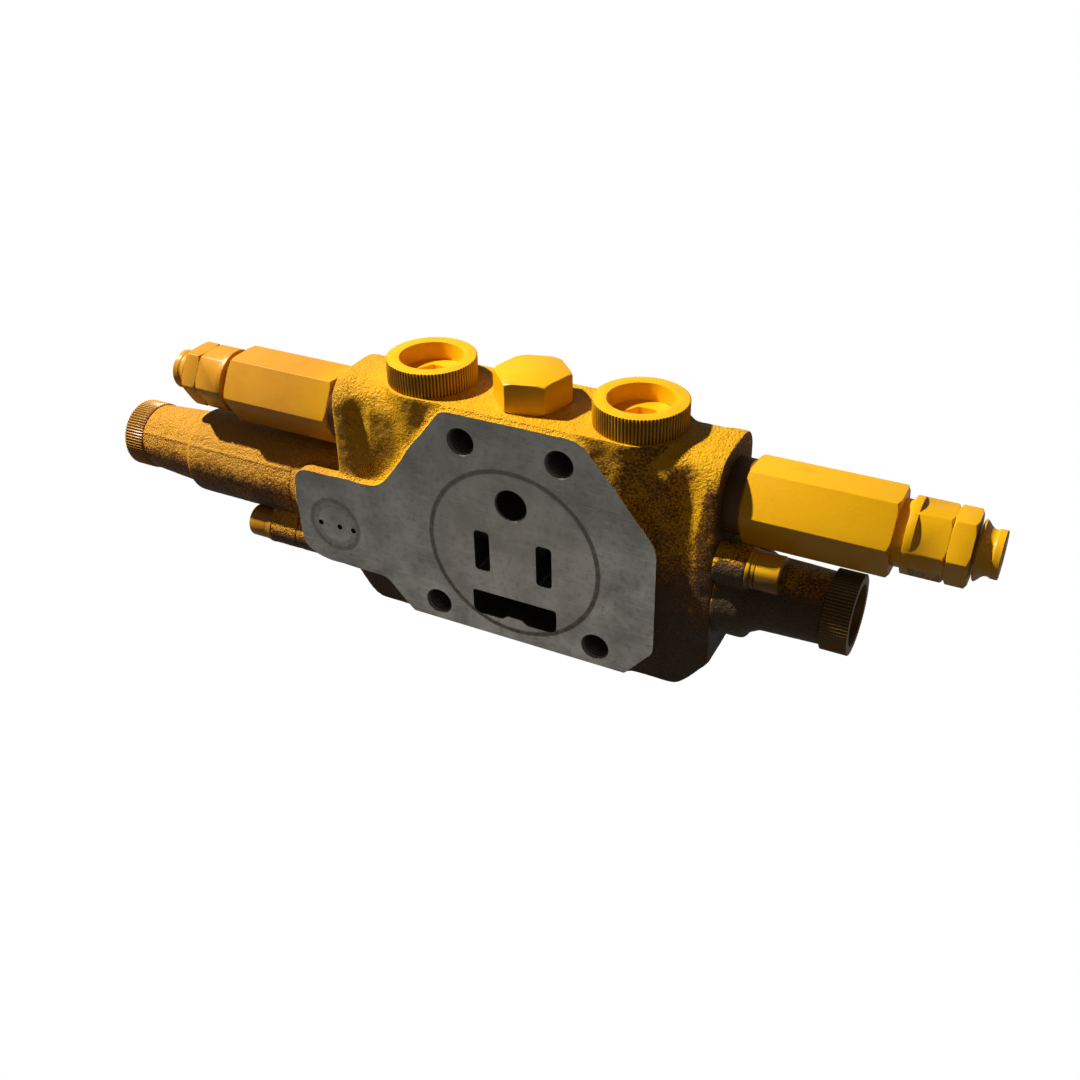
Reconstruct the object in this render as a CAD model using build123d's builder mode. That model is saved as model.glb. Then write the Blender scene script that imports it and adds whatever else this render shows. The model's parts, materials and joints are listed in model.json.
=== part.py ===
from build123d import *
import math
import os

os.makedirs("parts", exist_ok=True)

# A hydraulic valve section: a cast body with one spool, two work ports and two relief valves.
# Sizes are in millimetres. X runs along the spool, Y into the body from the machined front face,
# and Z up. The origin is the centre of the large seal's mark on the machined face.

# The casting
half_length = 91.0
section_depth = 46.0
body_bottom = -47.0
land_z = 66.0
cast_setback = 3.0
flange_setback = 2.0
flange_thickness = 8.0
flange_bottom = -29.0
shoulder_radius = 13.0
foot_inset = 14.0
deck_thickness = 14.0
valley_radius = 8.0
valley_depth = 2.5
valley_bottom = 27.0
barrel_radius = 21.5
barrel_length = 31.0
edge_radius = 1.5

# The machined pad and the wing that carries the pilot holes
pad_thickness = 7.0
pad_top_drop = 2.0
pad_top_half = 32.5
pad_half = 67.3
pad_corner_z = 22.0
pad_foot_half = 52.5
pad_foot_z = -31.5
wing_tip = 116.5
wing_root = 68.1
wing_top = 17.0

# Holes in the pad
tie_radius = 6.0
tie_depth = 20.0
tie_chamfer = 0.7
tie_top_half = 23.4
tie_top_z = 51.2
tie_bottom_half = 40.1
tie_bottom_z = -37.3
gallery_radius = 7.3
gallery_z = 25.3
slot_x = 15.4
slot_width = 7.7
slot_height = 21.0
slot_z = -2.0
kidney_half = 21.2
kidney_top = -24.0
kidney_bottom = -37.0
kidney_bump = 3.4
pilot_hole_radius = 1.4
pilot_hole_depth = 9.0
pilot_hole_z = -10.5
pilot_hole_xs = (-104.0, -93.2, -85.5)

# The spool, its bore and the chambers round it
spool_z = -1.0
bore_radius = 11.0
running_gap = 0.05
spool_travel = 7.0
spool_neck = 6.5
spool_tail = 6.0
chamber_radius = 15.0
centre_half = 4.0
feeder_x = 32.0
feeder_half = 4.5
feeder_radius = 4.0
feeder_z = 40.5
port_half = 5.0
tank_x = 71.5
tank_half = 4.5
tank_radius = 5.0
tank_y = 29.0
tank_z = -30.0
centre_overlap = 1.0
passage_step = 0.5
feeder_overlap = 3.5
tank_overlap = 4.5
recess_radius = 16.5
recess_slack = 2.0

# The centring pack on the left end of the spool
stud_radius = 4.9
stud_thread_length = 18.0
stud_head_radius = 8.0
stud_head_height = 5.0
stud_socket_af = 6.0
pack_length = 41.0
seat_radius = 15.0
seat_thickness = 3.0
seat_hub_radius = 8.6
seat_hub_length = 7.0
centring_coil_radius = 11.4
centring_wire = 1.7
centring_turns = 7

# The caps on the two ends of the bore
left_barrel_length = 63.0
left_neck_length = 34.8
left_neck_root = 18.7
left_neck_tip = 16.4
left_cavity_radius = 16.2
left_cavity_length = 56.0
right_flange_length = 13.5
right_neck_length = 30.9
right_neck_root = 16.3
right_neck_tip = 15.5
right_cavity_radius = 13.0
right_cavity_length = 15.0
cap_blend = 2.5
cap_passage = 4.0
cap_seal_section = 0.9
left_seal_radius = 18.7
right_seal_radius = 15.5

# Cap screws
screw_radius = 4.9
screw_clearance = 0.4
screw_engagement = 12.0
screw_head_radius = 8.0
screw_head_height = 10.0
screw_socket_af = 8.0
boss_radius = 8.5
left_boss_length = 15.5
washer_radius = 8.7
washer_thickness = 1.6
spring_washer_radius = 8.2
spring_washer_thickness = 2.0
spring_washer_split = 1.0
left_screws = ((9.0, -26.5), (40.5, 23.0))
right_screws = ((8.7, 18.9), (37.3, -20.9))

# Port plugs
fit_gap = 0.05
thread_run_out = 2.0
port_x = 49.5
port_boss_radius = 21.7
port_thread_radius = 16.5
port_thread_depth = 14.0
port_passage = 11.0
port_head_radius = 20.1
port_head_height = 11.0
port_well_radius = 14.2
port_teeth = 84
port_socket_af = 14.0
port_seal_leg = 3.2
end_thread_radius = 12.0
end_thread_depth = 15.0
end_head_radius = 17.2
end_head_height = 11.2
end_well_radius = 13.2
end_teeth = 72
end_socket_af = 12.0
end_seal_leg = 2.2
well_depth = 8.0
socket_depth = 6.0
tooth_depth = 0.7

# The check valve and its hexagon plug
check_plug_af = 30.0
check_plug_height = 13.6
check_plug_turn = 14.0
check_thread_radius = 12.0
check_thread_depth = 18.0
check_seal_leg = 2.7
check_chamber_radius = 11.0
check_seat_z = 36.0
check_bore = 7.5
check_bore_bottom = 17.0
check_head_radius = 9.2
check_head_height = 4.5
check_lift = 5.0
check_nose = 1.3
check_stem_radius = 5.95
check_stem_length = 12.0
check_guide_depth = 14.5
check_pocket_radius = 4.4
check_pocket_depth = 12.0
check_coil_radius = 3.4
check_wire = 0.65
check_turns = 8
seat_gap = 0.15

# The relief valves, each measured outwards from the body's end face
relief_z = 42.3
relief_thread_radius = 13.0
relief_thread_length = 12.0
relief_cavity_length = 22.0
relief_nose_bore = 9.0
relief_seal_leg = 2.7
relief_neck_radius = 15.9
relief_neck_length = 7.5
relief_hex_length = 58.8
relief_hex_af = 32.0
relief_turns = {"left": 0.0, "right": -5.0}
housing_bore = 9.0
housing_mouth_radius = 11.0
housing_mouth_length = 12.0
adjuster_groove_radius = 13.4
adjuster_groove_length = 3.9
adjuster_collar_radius = 15.4
adjuster_collar_length = 3.2
adjuster_flat_length = 12.6
adjuster_af = 27.0
adjuster_shank_length = 7.5
lock_nut_height = 8.6
lock_nut_af = 27.0
screw_thread_bore = 6.0
adjuster_travel = 3.0
adjuster_reach = 35.0
skirt_gap = 1.0
skirt_radius = 12.2
skirt_length = 5.6
waist_radius = 8.8
screw_disc_radius = 9.6
screw_disc_thickness = 3.4
sleeve_start = 33.0
sleeve_seat_length = 5.0
sleeve_bore = 6.5
sleeve_seat_radius = 5.0
sleeve_port_radius = 2.4
sleeve_port_offset = 6.5
sleeve_ports = 6
sleeve_seal_offset = 3.2
poppet_length = 20.0
poppet_wall = 2.0
poppet_nose = 2.4
poppet_travel = 3.0
main_coil_radius = 3.4
pilot_disc_start = 1.0
pilot_disc_length = 8.0
pilot_hole = 1.4
pilot_travel = 1.5
pilot_cone_length = 4.5
pilot_cone_radius = 2.6
pilot_flange_radius = 6.0
pilot_flange_thickness = 2.0
pilot_stem_length = 7.0
pilot_coil_radius = 4.6
spring_seat_thickness = 4.0
spring_seat_stem = 6.0
relief_wire = 0.75
relief_turns_main = 6
relief_turns_pilot = 9
small_seal_section = 0.8
hex_chamfer = 1.6

# Places that follow from the sizes above
mid_y = section_depth / 2
barrel_end = half_length + barrel_length
spool_radius = bore_radius - running_gap
pad_top = land_z - pad_top_drop
valley_x = (port_x + port_boss_radius + half_length - flange_thickness) / 2
left_cap_step = barrel_end + left_barrel_length
left_cap_tip = left_cap_step + left_neck_length
right_cap_step = half_length + right_flange_length
right_cap_tip = right_cap_step + right_neck_length


def facing(x, y, z, normal):
    """A plane through a point, looking along normal."""
    across = (0, 1, 0) if abs(normal[0]) > 0.5 else (1, 0, 0)
    return Plane(origin=(x, y, z), x_dir=across, z_dir=normal)


def front_plane(y):
    """A plane parallel to the machined face, seen from the front."""
    return Plane(origin=(0, y, 0), x_dir=(1, 0, 0), z_dir=(0, -1, 0))


def turned(seat, outline, radii=0.0):
    """A turned solid about the seat's normal, from points of (distance out, radius)."""
    profile_plane = Plane(origin=seat.origin, x_dir=seat.z_dir, z_dir=seat.x_dir)
    with BuildPart() as piece:
        with BuildSketch(profile_plane):
            with BuildLine():
                FilletPolyline(*outline, radius=radii, close=True)
            make_face()
        revolve(axis=Axis(seat.origin, seat.z_dir))
    return piece.part


def rod(seat, start, end, radius):
    """A plain cylinder on the seat's axis."""
    return turned(seat, [(start, 0), (end, 0), (end, radius), (start, radius)])


def cone(seat, start, start_radius, end, end_radius):
    """A cone frustum on the seat's axis."""
    return turned(seat, [(start, 0), (end, 0), (end, end_radius), (start, start_radius)])


def tube(seat, start, end, outer, inner):
    """A plain tube on the seat's axis."""
    return turned(seat, [(start, inner), (end, inner), (end, outer), (start, outer)])


def ring(seat, at, mean_radius, section):
    """A seal of round section about the seat's axis."""
    profile_plane = Plane(origin=seat.origin, x_dir=seat.z_dir, z_dir=seat.x_dir)
    with BuildPart() as seal:
        with BuildSketch(profile_plane):
            with Locations((at, mean_radius)):
                Circle(section)
        revolve(axis=Axis(seat.origin, seat.z_dir))
    return seal.part


def hexagon(seat, start, end, across_flats, turn=0.0):
    """A hexagon bar on the seat's axis, both ends chamfered as on a nut."""
    corner = across_flats / math.sqrt(3)
    rise = hex_chamfer * math.tan(math.radians(30))
    inner = corner - hex_chamfer
    limit = [(start, 0), (end, 0), (end, inner), (end - rise, corner), (start + rise, corner), (start, inner)]
    with BuildPart() as bar:
        with BuildSketch(seat.offset(start)):
            RegularPolygon(across_flats / 2, 6, major_radius=False, rotation=turn)
        extrude(amount=end - start)
        add(turned(seat, limit), mode=Mode.INTERSECT)
    return bar.part


def socket(seat, mouth, depth, across_flats):
    """The solid of a hexagon socket that runs inwards from mouth."""
    with BuildPart() as hole:
        with BuildSketch(seat.offset(mouth)):
            RegularPolygon(across_flats / 2, 6, major_radius=False)
        extrude(amount=-depth)
    return hole.part


def coil(seat, start, end, mean_radius, wire, turns):
    """A compression spring whose end turns touch the faces at start and end."""
    base = seat.offset(start + wire)
    height = end - start - 2 * wire
    with BuildPart() as spring:
        with BuildLine():
            path = Helix(height / turns, height, mean_radius, center=base.origin, direction=base.z_dir)
        with BuildSketch(Plane(origin=path @ 0, z_dir=path % 0)):
            Circle(wire)
        sweep(is_frenet=True)
    return spring.part


def corner_seal(seat, face, shank_radius, leg):
    """The ring that fills the corner between a shank, a flat face and a chamfered mouth."""
    section = leg * (1 - 1 / math.sqrt(2)) - fit_gap / 2
    return ring(seat, face - section, shank_radius + section, section)


def plug_mouth(seat, face, thread_radius, depth, leg):
    """The threaded hole for a plug, with its run-out and the chamfer for its seal."""
    bottom = face - depth - thread_run_out
    outline = [(bottom, 0), (face, 0), (face, thread_radius + leg), (face - leg, thread_radius),
               (bottom, thread_radius)]
    return turned(seat, outline)


def knurled_plug(seat, face, head_radius, head_height, teeth, well_radius, socket_af, shank_radius, depth):
    """A port plug: knurled rim, open well, hexagon socket in the well's floor and a threaded shank."""
    points = []
    for i in range(2 * teeth):
        angle = math.pi * i / teeth
        reach = head_radius - tooth_depth * (i % 2)
        points.append((reach * math.cos(angle), reach * math.sin(angle)))
    floor = face + head_height - well_depth
    with BuildPart() as plug:
        with BuildSketch(seat.offset(face)):
            with BuildLine():
                Polyline(*points, close=True)
            make_face()
        extrude(amount=head_height)
        add(rod(seat, face - depth, face, shank_radius - fit_gap))
        add(rod(seat, floor, face + head_height, well_radius), mode=Mode.SUBTRACT)
        add(socket(seat, floor, socket_depth, socket_af), mode=Mode.SUBTRACT)
    return plug.part


def web(seat, start, end, place):
    """A flat-sided web that joins a screw boss to the round of its cap or barrel."""
    dy = place[0] - mid_y
    dz = place[1] - spool_z
    reach = math.hypot(dy, dz)
    with BuildPart() as rib:
        with BuildSketch(Plane(origin=seat.offset(start).origin, x_dir=(0, dy, dz), z_dir=seat.z_dir)):
            with Locations((reach / 2, 0)):
                Rectangle(reach, 2 * boss_radius)
        extrude(amount=end - start)
    return rib.part


def save(node, solid):
    """Label a finished piece and write its file."""
    solid.label = node
    export_step(solid, "parts/" + node + ".step")


outward = {"left": (-1, 0, 0), "right": (1, 0, 0)}
spool_seats = {side: facing(0, mid_y, spool_z, normal) for side, normal in outward.items()}
relief_seats = {side: facing(0, mid_y, relief_z, normal) for side, normal in outward.items()}
port_seats = {"a": facing(-port_x, mid_y, 0, (0, 0, 1)), "b": facing(port_x, mid_y, 0, (0, 0, 1))}
check_axis = facing(0, mid_y, 0, (0, 0, 1))
screw_places = {"left": left_screws, "right": right_screws}
screw_faces = {"left": barrel_end, "right": half_length}
boss_lengths = {"left": left_boss_length, "right": right_flange_length}
recess_depth = spool_travel + recess_slack
slot_depth = mid_y - bore_radius + recess_slack
tie_places = [(-tie_top_half, tie_top_z), (tie_top_half, tie_top_z),
              (-tie_bottom_half, tie_bottom_z), (tie_bottom_half, tie_bottom_z)]

# Ring chambers round the bore as (place, half width), and the spool's necks on one side
chambers = [(0.0, centre_half)]
for sign in (-1, 1):
    chambers.append((sign * slot_x, slot_width / 2))
    chambers.append((sign * feeder_x, feeder_half))
    chambers.append((sign * port_x, port_half))
    chambers.append((sign * tank_x, tank_half))
spool_necks = [
    (centre_half - centre_overlap, slot_x - slot_width / 2 + centre_overlap),
    (feeder_x - feeder_half - centre_overlap / 2, port_x - port_half - feeder_overlap),
    (port_x + port_half + tank_overlap, tank_x + tank_half + centre_overlap),
]

# The casting's front view, the pad's outline and the kidney-shaped return slot
cast_outline = [
    (-half_length + foot_inset / 2, body_bottom), (half_length - foot_inset, body_bottom),
    (half_length, flange_bottom), (half_length, land_z),
    (-half_length, land_z), (-half_length, flange_bottom),
]
cast_radii = [6.0, 9.0, 9.0, edge_radius, edge_radius, 6.0]
end_outline = [
    (cast_setback, body_bottom), (section_depth - cast_setback, body_bottom),
    (section_depth - cast_setback, land_z), (cast_setback, land_z),
]
pad_outline = [
    (-pad_foot_half, body_bottom), (pad_foot_half, body_bottom), (pad_half, pad_foot_z),
    (pad_half, pad_corner_z), (pad_top_half, pad_top), (-pad_top_half, pad_top),
    (-wing_root, wing_top), (-wing_tip, wing_top),
    (-wing_tip, pad_foot_z), (-pad_half - edge_radius, pad_foot_z),
]
pad_radii = [9.0, 8.0, 5.0, 10.0, 12.0, 6.0, 16.0, 8.0, 16.0, 5.0]
kidney_outline = [
    (-kidney_half, kidney_top), (kidney_half, kidney_top), (kidney_half, kidney_bottom),
    (kidney_half / 2, kidney_bottom), (kidney_half / 3, kidney_bottom + kidney_bump),
    (-kidney_half / 3, kidney_bottom + kidney_bump), (-kidney_half / 2, kidney_bottom),
    (-kidney_half, kidney_bottom),
]
kidney_radii = [1.5, 1.5, 4.0, 3.0, 3.0, 3.0, 3.0, 4.0]

def spool_cavity():
    """The spool bore with its ring chambers, and the recess for the centring pack."""
    axis = spool_seats["right"]
    outline = [(-barrel_end, 0), (-barrel_end, recess_radius), (recess_depth - barrel_end, recess_radius),
               (recess_depth - barrel_end, bore_radius)]
    for x, half in sorted(chambers):
        outline += [(x - half, bore_radius), (x - half, chamber_radius)]
        outline += [(x + half, chamber_radius), (x + half, bore_radius)]
    return [turned(axis, outline + [(half_length, bore_radius), (half_length, 0)])]


def pad_passages():
    """The inlet gallery, two slots, the kidney-shaped return slot and the small pilot holes."""
    waste = [rod(facing(0, 0, gallery_z, (0, 1, 0)), 0, mid_y, gallery_radius)]
    for x in (-slot_x, slot_x):
        with BuildPart() as slot:
            with BuildSketch(front_plane(0)):
                with Locations((x, slot_z)):
                    SlotOverall(slot_height, slot_width, rotation=90)
            extrude(amount=-slot_depth)
        waste.append(slot.part)
    with BuildPart() as kidney:
        with BuildSketch(front_plane(0)):
            with BuildLine():
                FilletPolyline(*kidney_outline, radius=kidney_radii, close=True)
            make_face()
        extrude(amount=-tank_y)
    waste.append(kidney.part)
    for x in pilot_hole_xs:
        waste.append(rod(facing(x, 0, pilot_hole_z, (0, 1, 0)), 0, pilot_hole_depth, pilot_hole_radius))
    return waste


def check_cavity():
    """The check valve's chamber, its inlet from the gallery and the two feeders to the spool."""
    inlet_radius = centre_half - passage_step
    bottom = land_z - check_thread_depth - thread_run_out
    outline = [(spool_z, 0), (land_z, 0), (land_z, check_thread_radius + check_seal_leg),
               (land_z - check_seal_leg, check_thread_radius), (bottom, check_thread_radius),
               (bottom, check_chamber_radius), (check_seat_z, check_chamber_radius), (check_seat_z, check_bore),
               (check_bore_bottom, check_bore), (check_bore_bottom, inlet_radius), (spool_z, inlet_radius)]
    waste = [turned(check_axis, outline)]
    waste.append(rod(facing(0, mid_y, feeder_z, (1, 0, 0)), -feeder_x, feeder_x, feeder_radius))
    for x in (-feeder_x, feeder_x):
        waste.append(rod(facing(x, mid_y, 0, (0, 0, 1)), spool_z, feeder_z, feeder_radius))
    return waste


def port_cavities():
    """The two work ports and the relief valve cavities that open into them."""
    drop_radius = port_half - passage_step
    waste = []
    for seat in port_seats.values():
        bottom = land_z - port_thread_depth - thread_run_out
        pocket = relief_z - relief_nose_bore - passage_step
        outline = [(spool_z, 0), (land_z, 0), (land_z, port_thread_radius + port_seal_leg),
                   (land_z - port_seal_leg, port_thread_radius), (bottom, port_thread_radius),
                   (bottom, port_passage), (pocket, port_passage), (pocket, drop_radius), (spool_z, drop_radius)]
        waste.append(turned(seat, outline))
    for seat in relief_seats.values():
        bottom = half_length - relief_cavity_length
        outline = [(port_x, 0), (half_length, 0), (half_length, relief_thread_radius + relief_seal_leg),
                   (half_length - relief_seal_leg, relief_thread_radius), (bottom, relief_thread_radius),
                   (bottom, relief_nose_bore), (port_x, relief_nose_bore)]
        waste.append(turned(seat, outline))
    return waste


def return_gallery():
    """The return gallery behind the spool and its two risers to the relief valves."""
    waste = [rod(facing(0, tank_y, tank_z, (1, 0, 0)), -tank_x, tank_x, tank_radius)]
    for x in (-tank_x, tank_x):
        waste.append(rod(facing(x, tank_y, 0, (0, 0, 1)), tank_z, relief_z, tank_radius))
    return waste


def screw_holes():
    """The threaded tie holes in the pad and the threaded holes for the cap screws."""
    waste = []
    for x, z in tie_places:
        outline = [(-tie_depth, 0), (0, 0), (0, tie_radius + tie_chamfer), (-tie_chamfer, tie_radius),
                   (-tie_depth, tie_radius)]
        waste.append(turned(facing(x, 0, z, (0, -1, 0)), outline))
    for side, places in screw_places.items():
        for place in places:
            hole = facing(0, place[0], place[1], outward[side])
            depth = screw_engagement + thread_run_out
            waste.append(rod(hole, screw_faces[side] - depth, screw_faces[side], screw_radius + fit_gap))
    return waste


# The valve body: the casting, its machined faces and every bore and passage
with BuildPart() as valve_body:
    with BuildSketch(front_plane(section_depth - cast_setback)):
        with BuildLine():
            FilletPolyline(*cast_outline, radius=cast_radii, close=True)
        make_face()
    extrude(amount=section_depth - 2 * cast_setback)
    with BuildSketch(facing(-half_length, 0, 0, (1, 0, 0))):
        with BuildLine():
            FilletPolyline(*end_outline, radius=[0.0, 0.0, shoulder_radius, shoulder_radius], close=True)
        make_face()
    extrude(amount=2 * half_length, mode=Mode.INTERSECT)

    # The flat top between the two port bosses, and the bosses themselves
    with BuildSketch(Plane.XY.offset(land_z)):
        with Locations((0, mid_y)):
            Rectangle(2 * port_x, section_depth - 2 * flange_setback)
    extrude(amount=-deck_thickness)
    for seat in port_seats.values():
        add(rod(seat, 0, land_z, port_boss_radius))

    # The end flanges, and the hollow between each flange and its port boss
    for side, normal in outward.items():
        end_face = facing(normal[0] * half_length, mid_y, 0, normal)
        with BuildSketch(end_face):
            with Locations((0, end_face.y_dir.Z * (land_z + flange_bottom) / 2)):
                RectangleRounded(section_depth - 2 * flange_setback, land_z - flange_bottom, shoulder_radius)
        extrude(amount=-flange_thickness)
        for setback in (cast_setback, section_depth - cast_setback):
            inwards = 1 if setback < mid_y else -1
            valley_y = setback + inwards * (valley_depth - valley_radius)
            valley = facing(normal[0] * valley_x, valley_y, 0, (0, 0, 1))
            add(rod(valley, valley_bottom, land_z, valley_radius), mode=Mode.SUBTRACT)

    # The machined pad with its wing, and the round barrel for the centring spring
    with BuildSketch(front_plane(pad_thickness)):
        with BuildLine():
            FilletPolyline(*pad_outline, radius=pad_radii, close=True)
        make_face()
    extrude(amount=pad_thickness)
    add(rod(spool_seats["left"], half_length - flange_thickness, barrel_end, barrel_radius))
    for place in left_screws:
        boss_seat = facing(0, place[0], place[1], outward["left"])
        add(rod(boss_seat, barrel_end - 2 * screw_engagement, barrel_end, boss_radius))
        add(web(spool_seats["left"], barrel_end - 2 * screw_engagement, barrel_end, place))

    # Everything that is bored or cored out of the casting
    for waste in (spool_cavity(), pad_passages(), check_cavity(), port_cavities(), return_gallery(), screw_holes()):
        add(waste, mode=Mode.SUBTRACT)
save("valve_body", valve_body.part)

# The spool: lands that seal in the bore between the chambers, and necks that let oil past
with BuildPart() as spool:
    add(rod(spool_seats["right"], -barrel_end, half_length + spool_tail, spool_radius))
    for start, end in spool_necks:
        for seat in spool_seats.values():
            add(tube(seat, start, end, bore_radius, spool_neck), mode=Mode.SUBTRACT)
    stud_hole = rod(spool_seats["left"], barrel_end - stud_thread_length, barrel_end, stud_radius + fit_gap)
    add(stud_hole, mode=Mode.SUBTRACT)
save("spool", spool.part)

# The centring pack: a stud, two flanged spring seats and the spring between them
pack_end = barrel_end + pack_length
with BuildPart() as spool_stud:
    add(rod(spool_seats["left"], barrel_end - stud_thread_length, pack_end, stud_radius))
    add(rod(spool_seats["left"], pack_end, pack_end + stud_head_height, stud_head_radius))
    head_socket = socket(spool_seats["left"], pack_end + stud_head_height, stud_head_height / 2, stud_socket_af)
    add(head_socket, mode=Mode.SUBTRACT)
save("spool_stud", spool_stud.part)

seat_hole = stud_radius + fit_gap
with BuildPart() as inner_spring_seat:
    add(tube(spool_seats["left"], barrel_end, barrel_end + seat_thickness, seat_radius, seat_hole))
    hub_end = barrel_end + seat_thickness + seat_hub_length
    add(tube(spool_seats["left"], barrel_end, hub_end, seat_hub_radius, seat_hole))
save("inner_spring_seat", inner_spring_seat.part)

with BuildPart() as outer_spring_seat:
    add(tube(spool_seats["left"], pack_end - seat_thickness, pack_end, seat_radius, seat_hole))
    hub_start = pack_end - seat_thickness - seat_hub_length
    add(tube(spool_seats["left"], hub_start, pack_end, seat_hub_radius, seat_hole))
save("outer_spring_seat", outer_spring_seat.part)

spring_from = barrel_end + seat_thickness
spring_to = pack_end - seat_thickness
centring_spring = coil(spool_seats["left"], spring_from, spring_to, centring_coil_radius, centring_wire, centring_turns)
save("centring_spring", centring_spring)


def cut_cap(side, face, tip, cavity_length, cavity_radius, seal_radius):
    """What is taken out of a cap: spring cavity, passage, plug mouth, seal groove and screw holes."""
    seat = spool_seats[side]
    with BuildPart() as waste:
        add(rod(seat, face, face + cavity_length, cavity_radius))
        add(rod(seat, face, tip, cap_passage))
        add(plug_mouth(seat, tip, end_thread_radius, end_thread_depth, end_seal_leg))
        groove = seal_radius - cap_seal_section - fit_gap, seal_radius + cap_seal_section + fit_gap
        add(tube(seat, face, face + 2 * cap_seal_section, groove[1], groove[0]))
        for place in screw_places[side]:
            hole = facing(0, place[0], place[1], outward[side])
            spot = face + boss_lengths[side]
            spot_end = spot + washer_thickness + spring_washer_thickness + screw_head_height
            add(rod(hole, face, spot, screw_radius + screw_clearance))
            add(rod(hole, spot, spot_end, washer_radius + screw_clearance))
    return waste.part


# The long left cap over the centring pack
with BuildPart() as spring_cap:
    seat = spool_seats["left"]
    outline = [(barrel_end, 0), (left_cap_tip, 0), (left_cap_tip, left_neck_tip),
               (left_cap_step + cap_blend, left_neck_root), (left_cap_step, barrel_radius),
               (barrel_end, barrel_radius)]
    add(turned(seat, outline, [0.0, 0.0, 0.0, edge_radius, edge_radius, 0.0]))
    for place in left_screws:
        boss_end = barrel_end + left_boss_length
        add(rod(facing(0, place[0], place[1], outward["left"]), barrel_end, boss_end, boss_radius))
        add(web(seat, barrel_end, boss_end, place))
    waste = cut_cap("left", barrel_end, left_cap_tip, left_cavity_length, left_cavity_radius, left_seal_radius)
    add(waste, mode=Mode.SUBTRACT)
save("spring_cap", spring_cap.part)

# The short right cap with the pilot port
with BuildPart() as pilot_cap:
    seat = spool_seats["right"]
    blend = right_cap_step + barrel_radius - right_neck_root
    outline = [(half_length, 0), (right_cap_tip, 0), (right_cap_tip, right_neck_tip),
               (blend, right_neck_root), (right_cap_step, right_neck_root + cap_blend),
               (right_cap_step, barrel_radius), (half_length, barrel_radius)]
    add(turned(seat, outline, [0.0, 0.0, 0.0, cap_blend, edge_radius / 2, cap_blend, 0.0]))
    for place in right_screws:
        add(rod(facing(0, place[0], place[1], outward["right"]), half_length, right_cap_step, boss_radius))
        add(web(seat, half_length, right_cap_step, place))
    waste = cut_cap("right", half_length, right_cap_tip, right_cavity_length, right_cavity_radius, right_seal_radius)
    add(waste, mode=Mode.SUBTRACT)
save("pilot_cap", pilot_cap.part)

# One ring seal in each cap's groove
with BuildPart() as cap_seals:
    add(ring(spool_seats["left"], barrel_end + cap_seal_section, left_seal_radius, cap_seal_section))
    add(ring(spool_seats["right"], half_length + cap_seal_section, right_seal_radius, cap_seal_section))
save("cap_seals", cap_seals.part)

# Four socket-head screws hold the caps, each on a flat washer and a split spring washer
screw_list = [(side, place) for side, places in screw_places.items() for place in places]
with BuildPart() as cap_screws:
    for side, place in screw_list:
        seat = facing(0, place[0], place[1], outward[side])
        head = screw_faces[side] + boss_lengths[side] + washer_thickness + spring_washer_thickness
        add(rod(seat, screw_faces[side] - screw_engagement, head, screw_radius))
        add(rod(seat, head, head + screw_head_height, screw_head_radius))
        key = socket(seat, head + screw_head_height, screw_head_height / 2, screw_socket_af)
        add(key, mode=Mode.SUBTRACT)
save("cap_screws", cap_screws.part)

with BuildPart() as flat_washers:
    for side, place in screw_list:
        seat = facing(0, place[0], place[1], outward[side])
        spot = screw_faces[side] + boss_lengths[side]
        add(tube(seat, spot, spot + washer_thickness, washer_radius, screw_radius + screw_clearance))
save("flat_washers", flat_washers.part)

with BuildPart() as spring_washers:
    for side, place in screw_list:
        seat = facing(0, place[0], place[1], outward[side])
        spot = screw_faces[side] + boss_lengths[side] + washer_thickness
        add(tube(seat, spot, spot + spring_washer_thickness, spring_washer_radius, screw_radius + screw_clearance))
        with BuildSketch(seat.offset(spot)):
            with Locations((0, spring_washer_radius / 2)):
                Rectangle(spring_washer_split, spring_washer_radius)
        extrude(amount=spring_washer_thickness, mode=Mode.SUBTRACT)
save("spring_washers", spring_washers.part)

# Knurled plugs close the two work ports and the two pilot ports
for port, seat in port_seats.items():
    plug = knurled_plug(seat, land_z, port_head_radius, port_head_height, port_teeth, port_well_radius,
                        port_socket_af, port_thread_radius, port_thread_depth)
    save("port_plug_" + port, plug)
cap_tips = {"left": left_cap_tip, "right": right_cap_tip}
for side, seat in spool_seats.items():
    plug = knurled_plug(seat, cap_tips[side], end_head_radius, end_head_height, end_teeth, end_well_radius,
                        end_socket_af, end_thread_radius, end_thread_depth)
    save("pilot_plug_" + side, plug)

with BuildPart() as port_plug_seals:
    for seat in port_seats.values():
        add(corner_seal(seat, land_z, port_thread_radius, port_seal_leg))
save("port_plug_seals", port_plug_seals.part)

with BuildPart() as pilot_plug_seals:
    for side, seat in spool_seats.items():
        add(corner_seal(seat, cap_tips[side], end_thread_radius, end_seal_leg))
save("pilot_plug_seals", pilot_plug_seals.part)

# The check valve: a hexagon plug with a bore that guides the poppet's stem
check_bottom = land_z - check_thread_depth
guide_top = check_bottom + check_guide_depth
with BuildPart() as check_plug:
    add(hexagon(check_axis, land_z, land_z + check_plug_height, check_plug_af, check_plug_turn))
    add(rod(check_axis, check_bottom, land_z, check_thread_radius - fit_gap))
    add(rod(check_axis, check_bottom, guide_top, check_stem_radius + running_gap), mode=Mode.SUBTRACT)
save("check_plug", check_plug.part)
save("check_plug_seal", corner_seal(check_axis, land_z, check_thread_radius, check_seal_leg))

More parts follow.
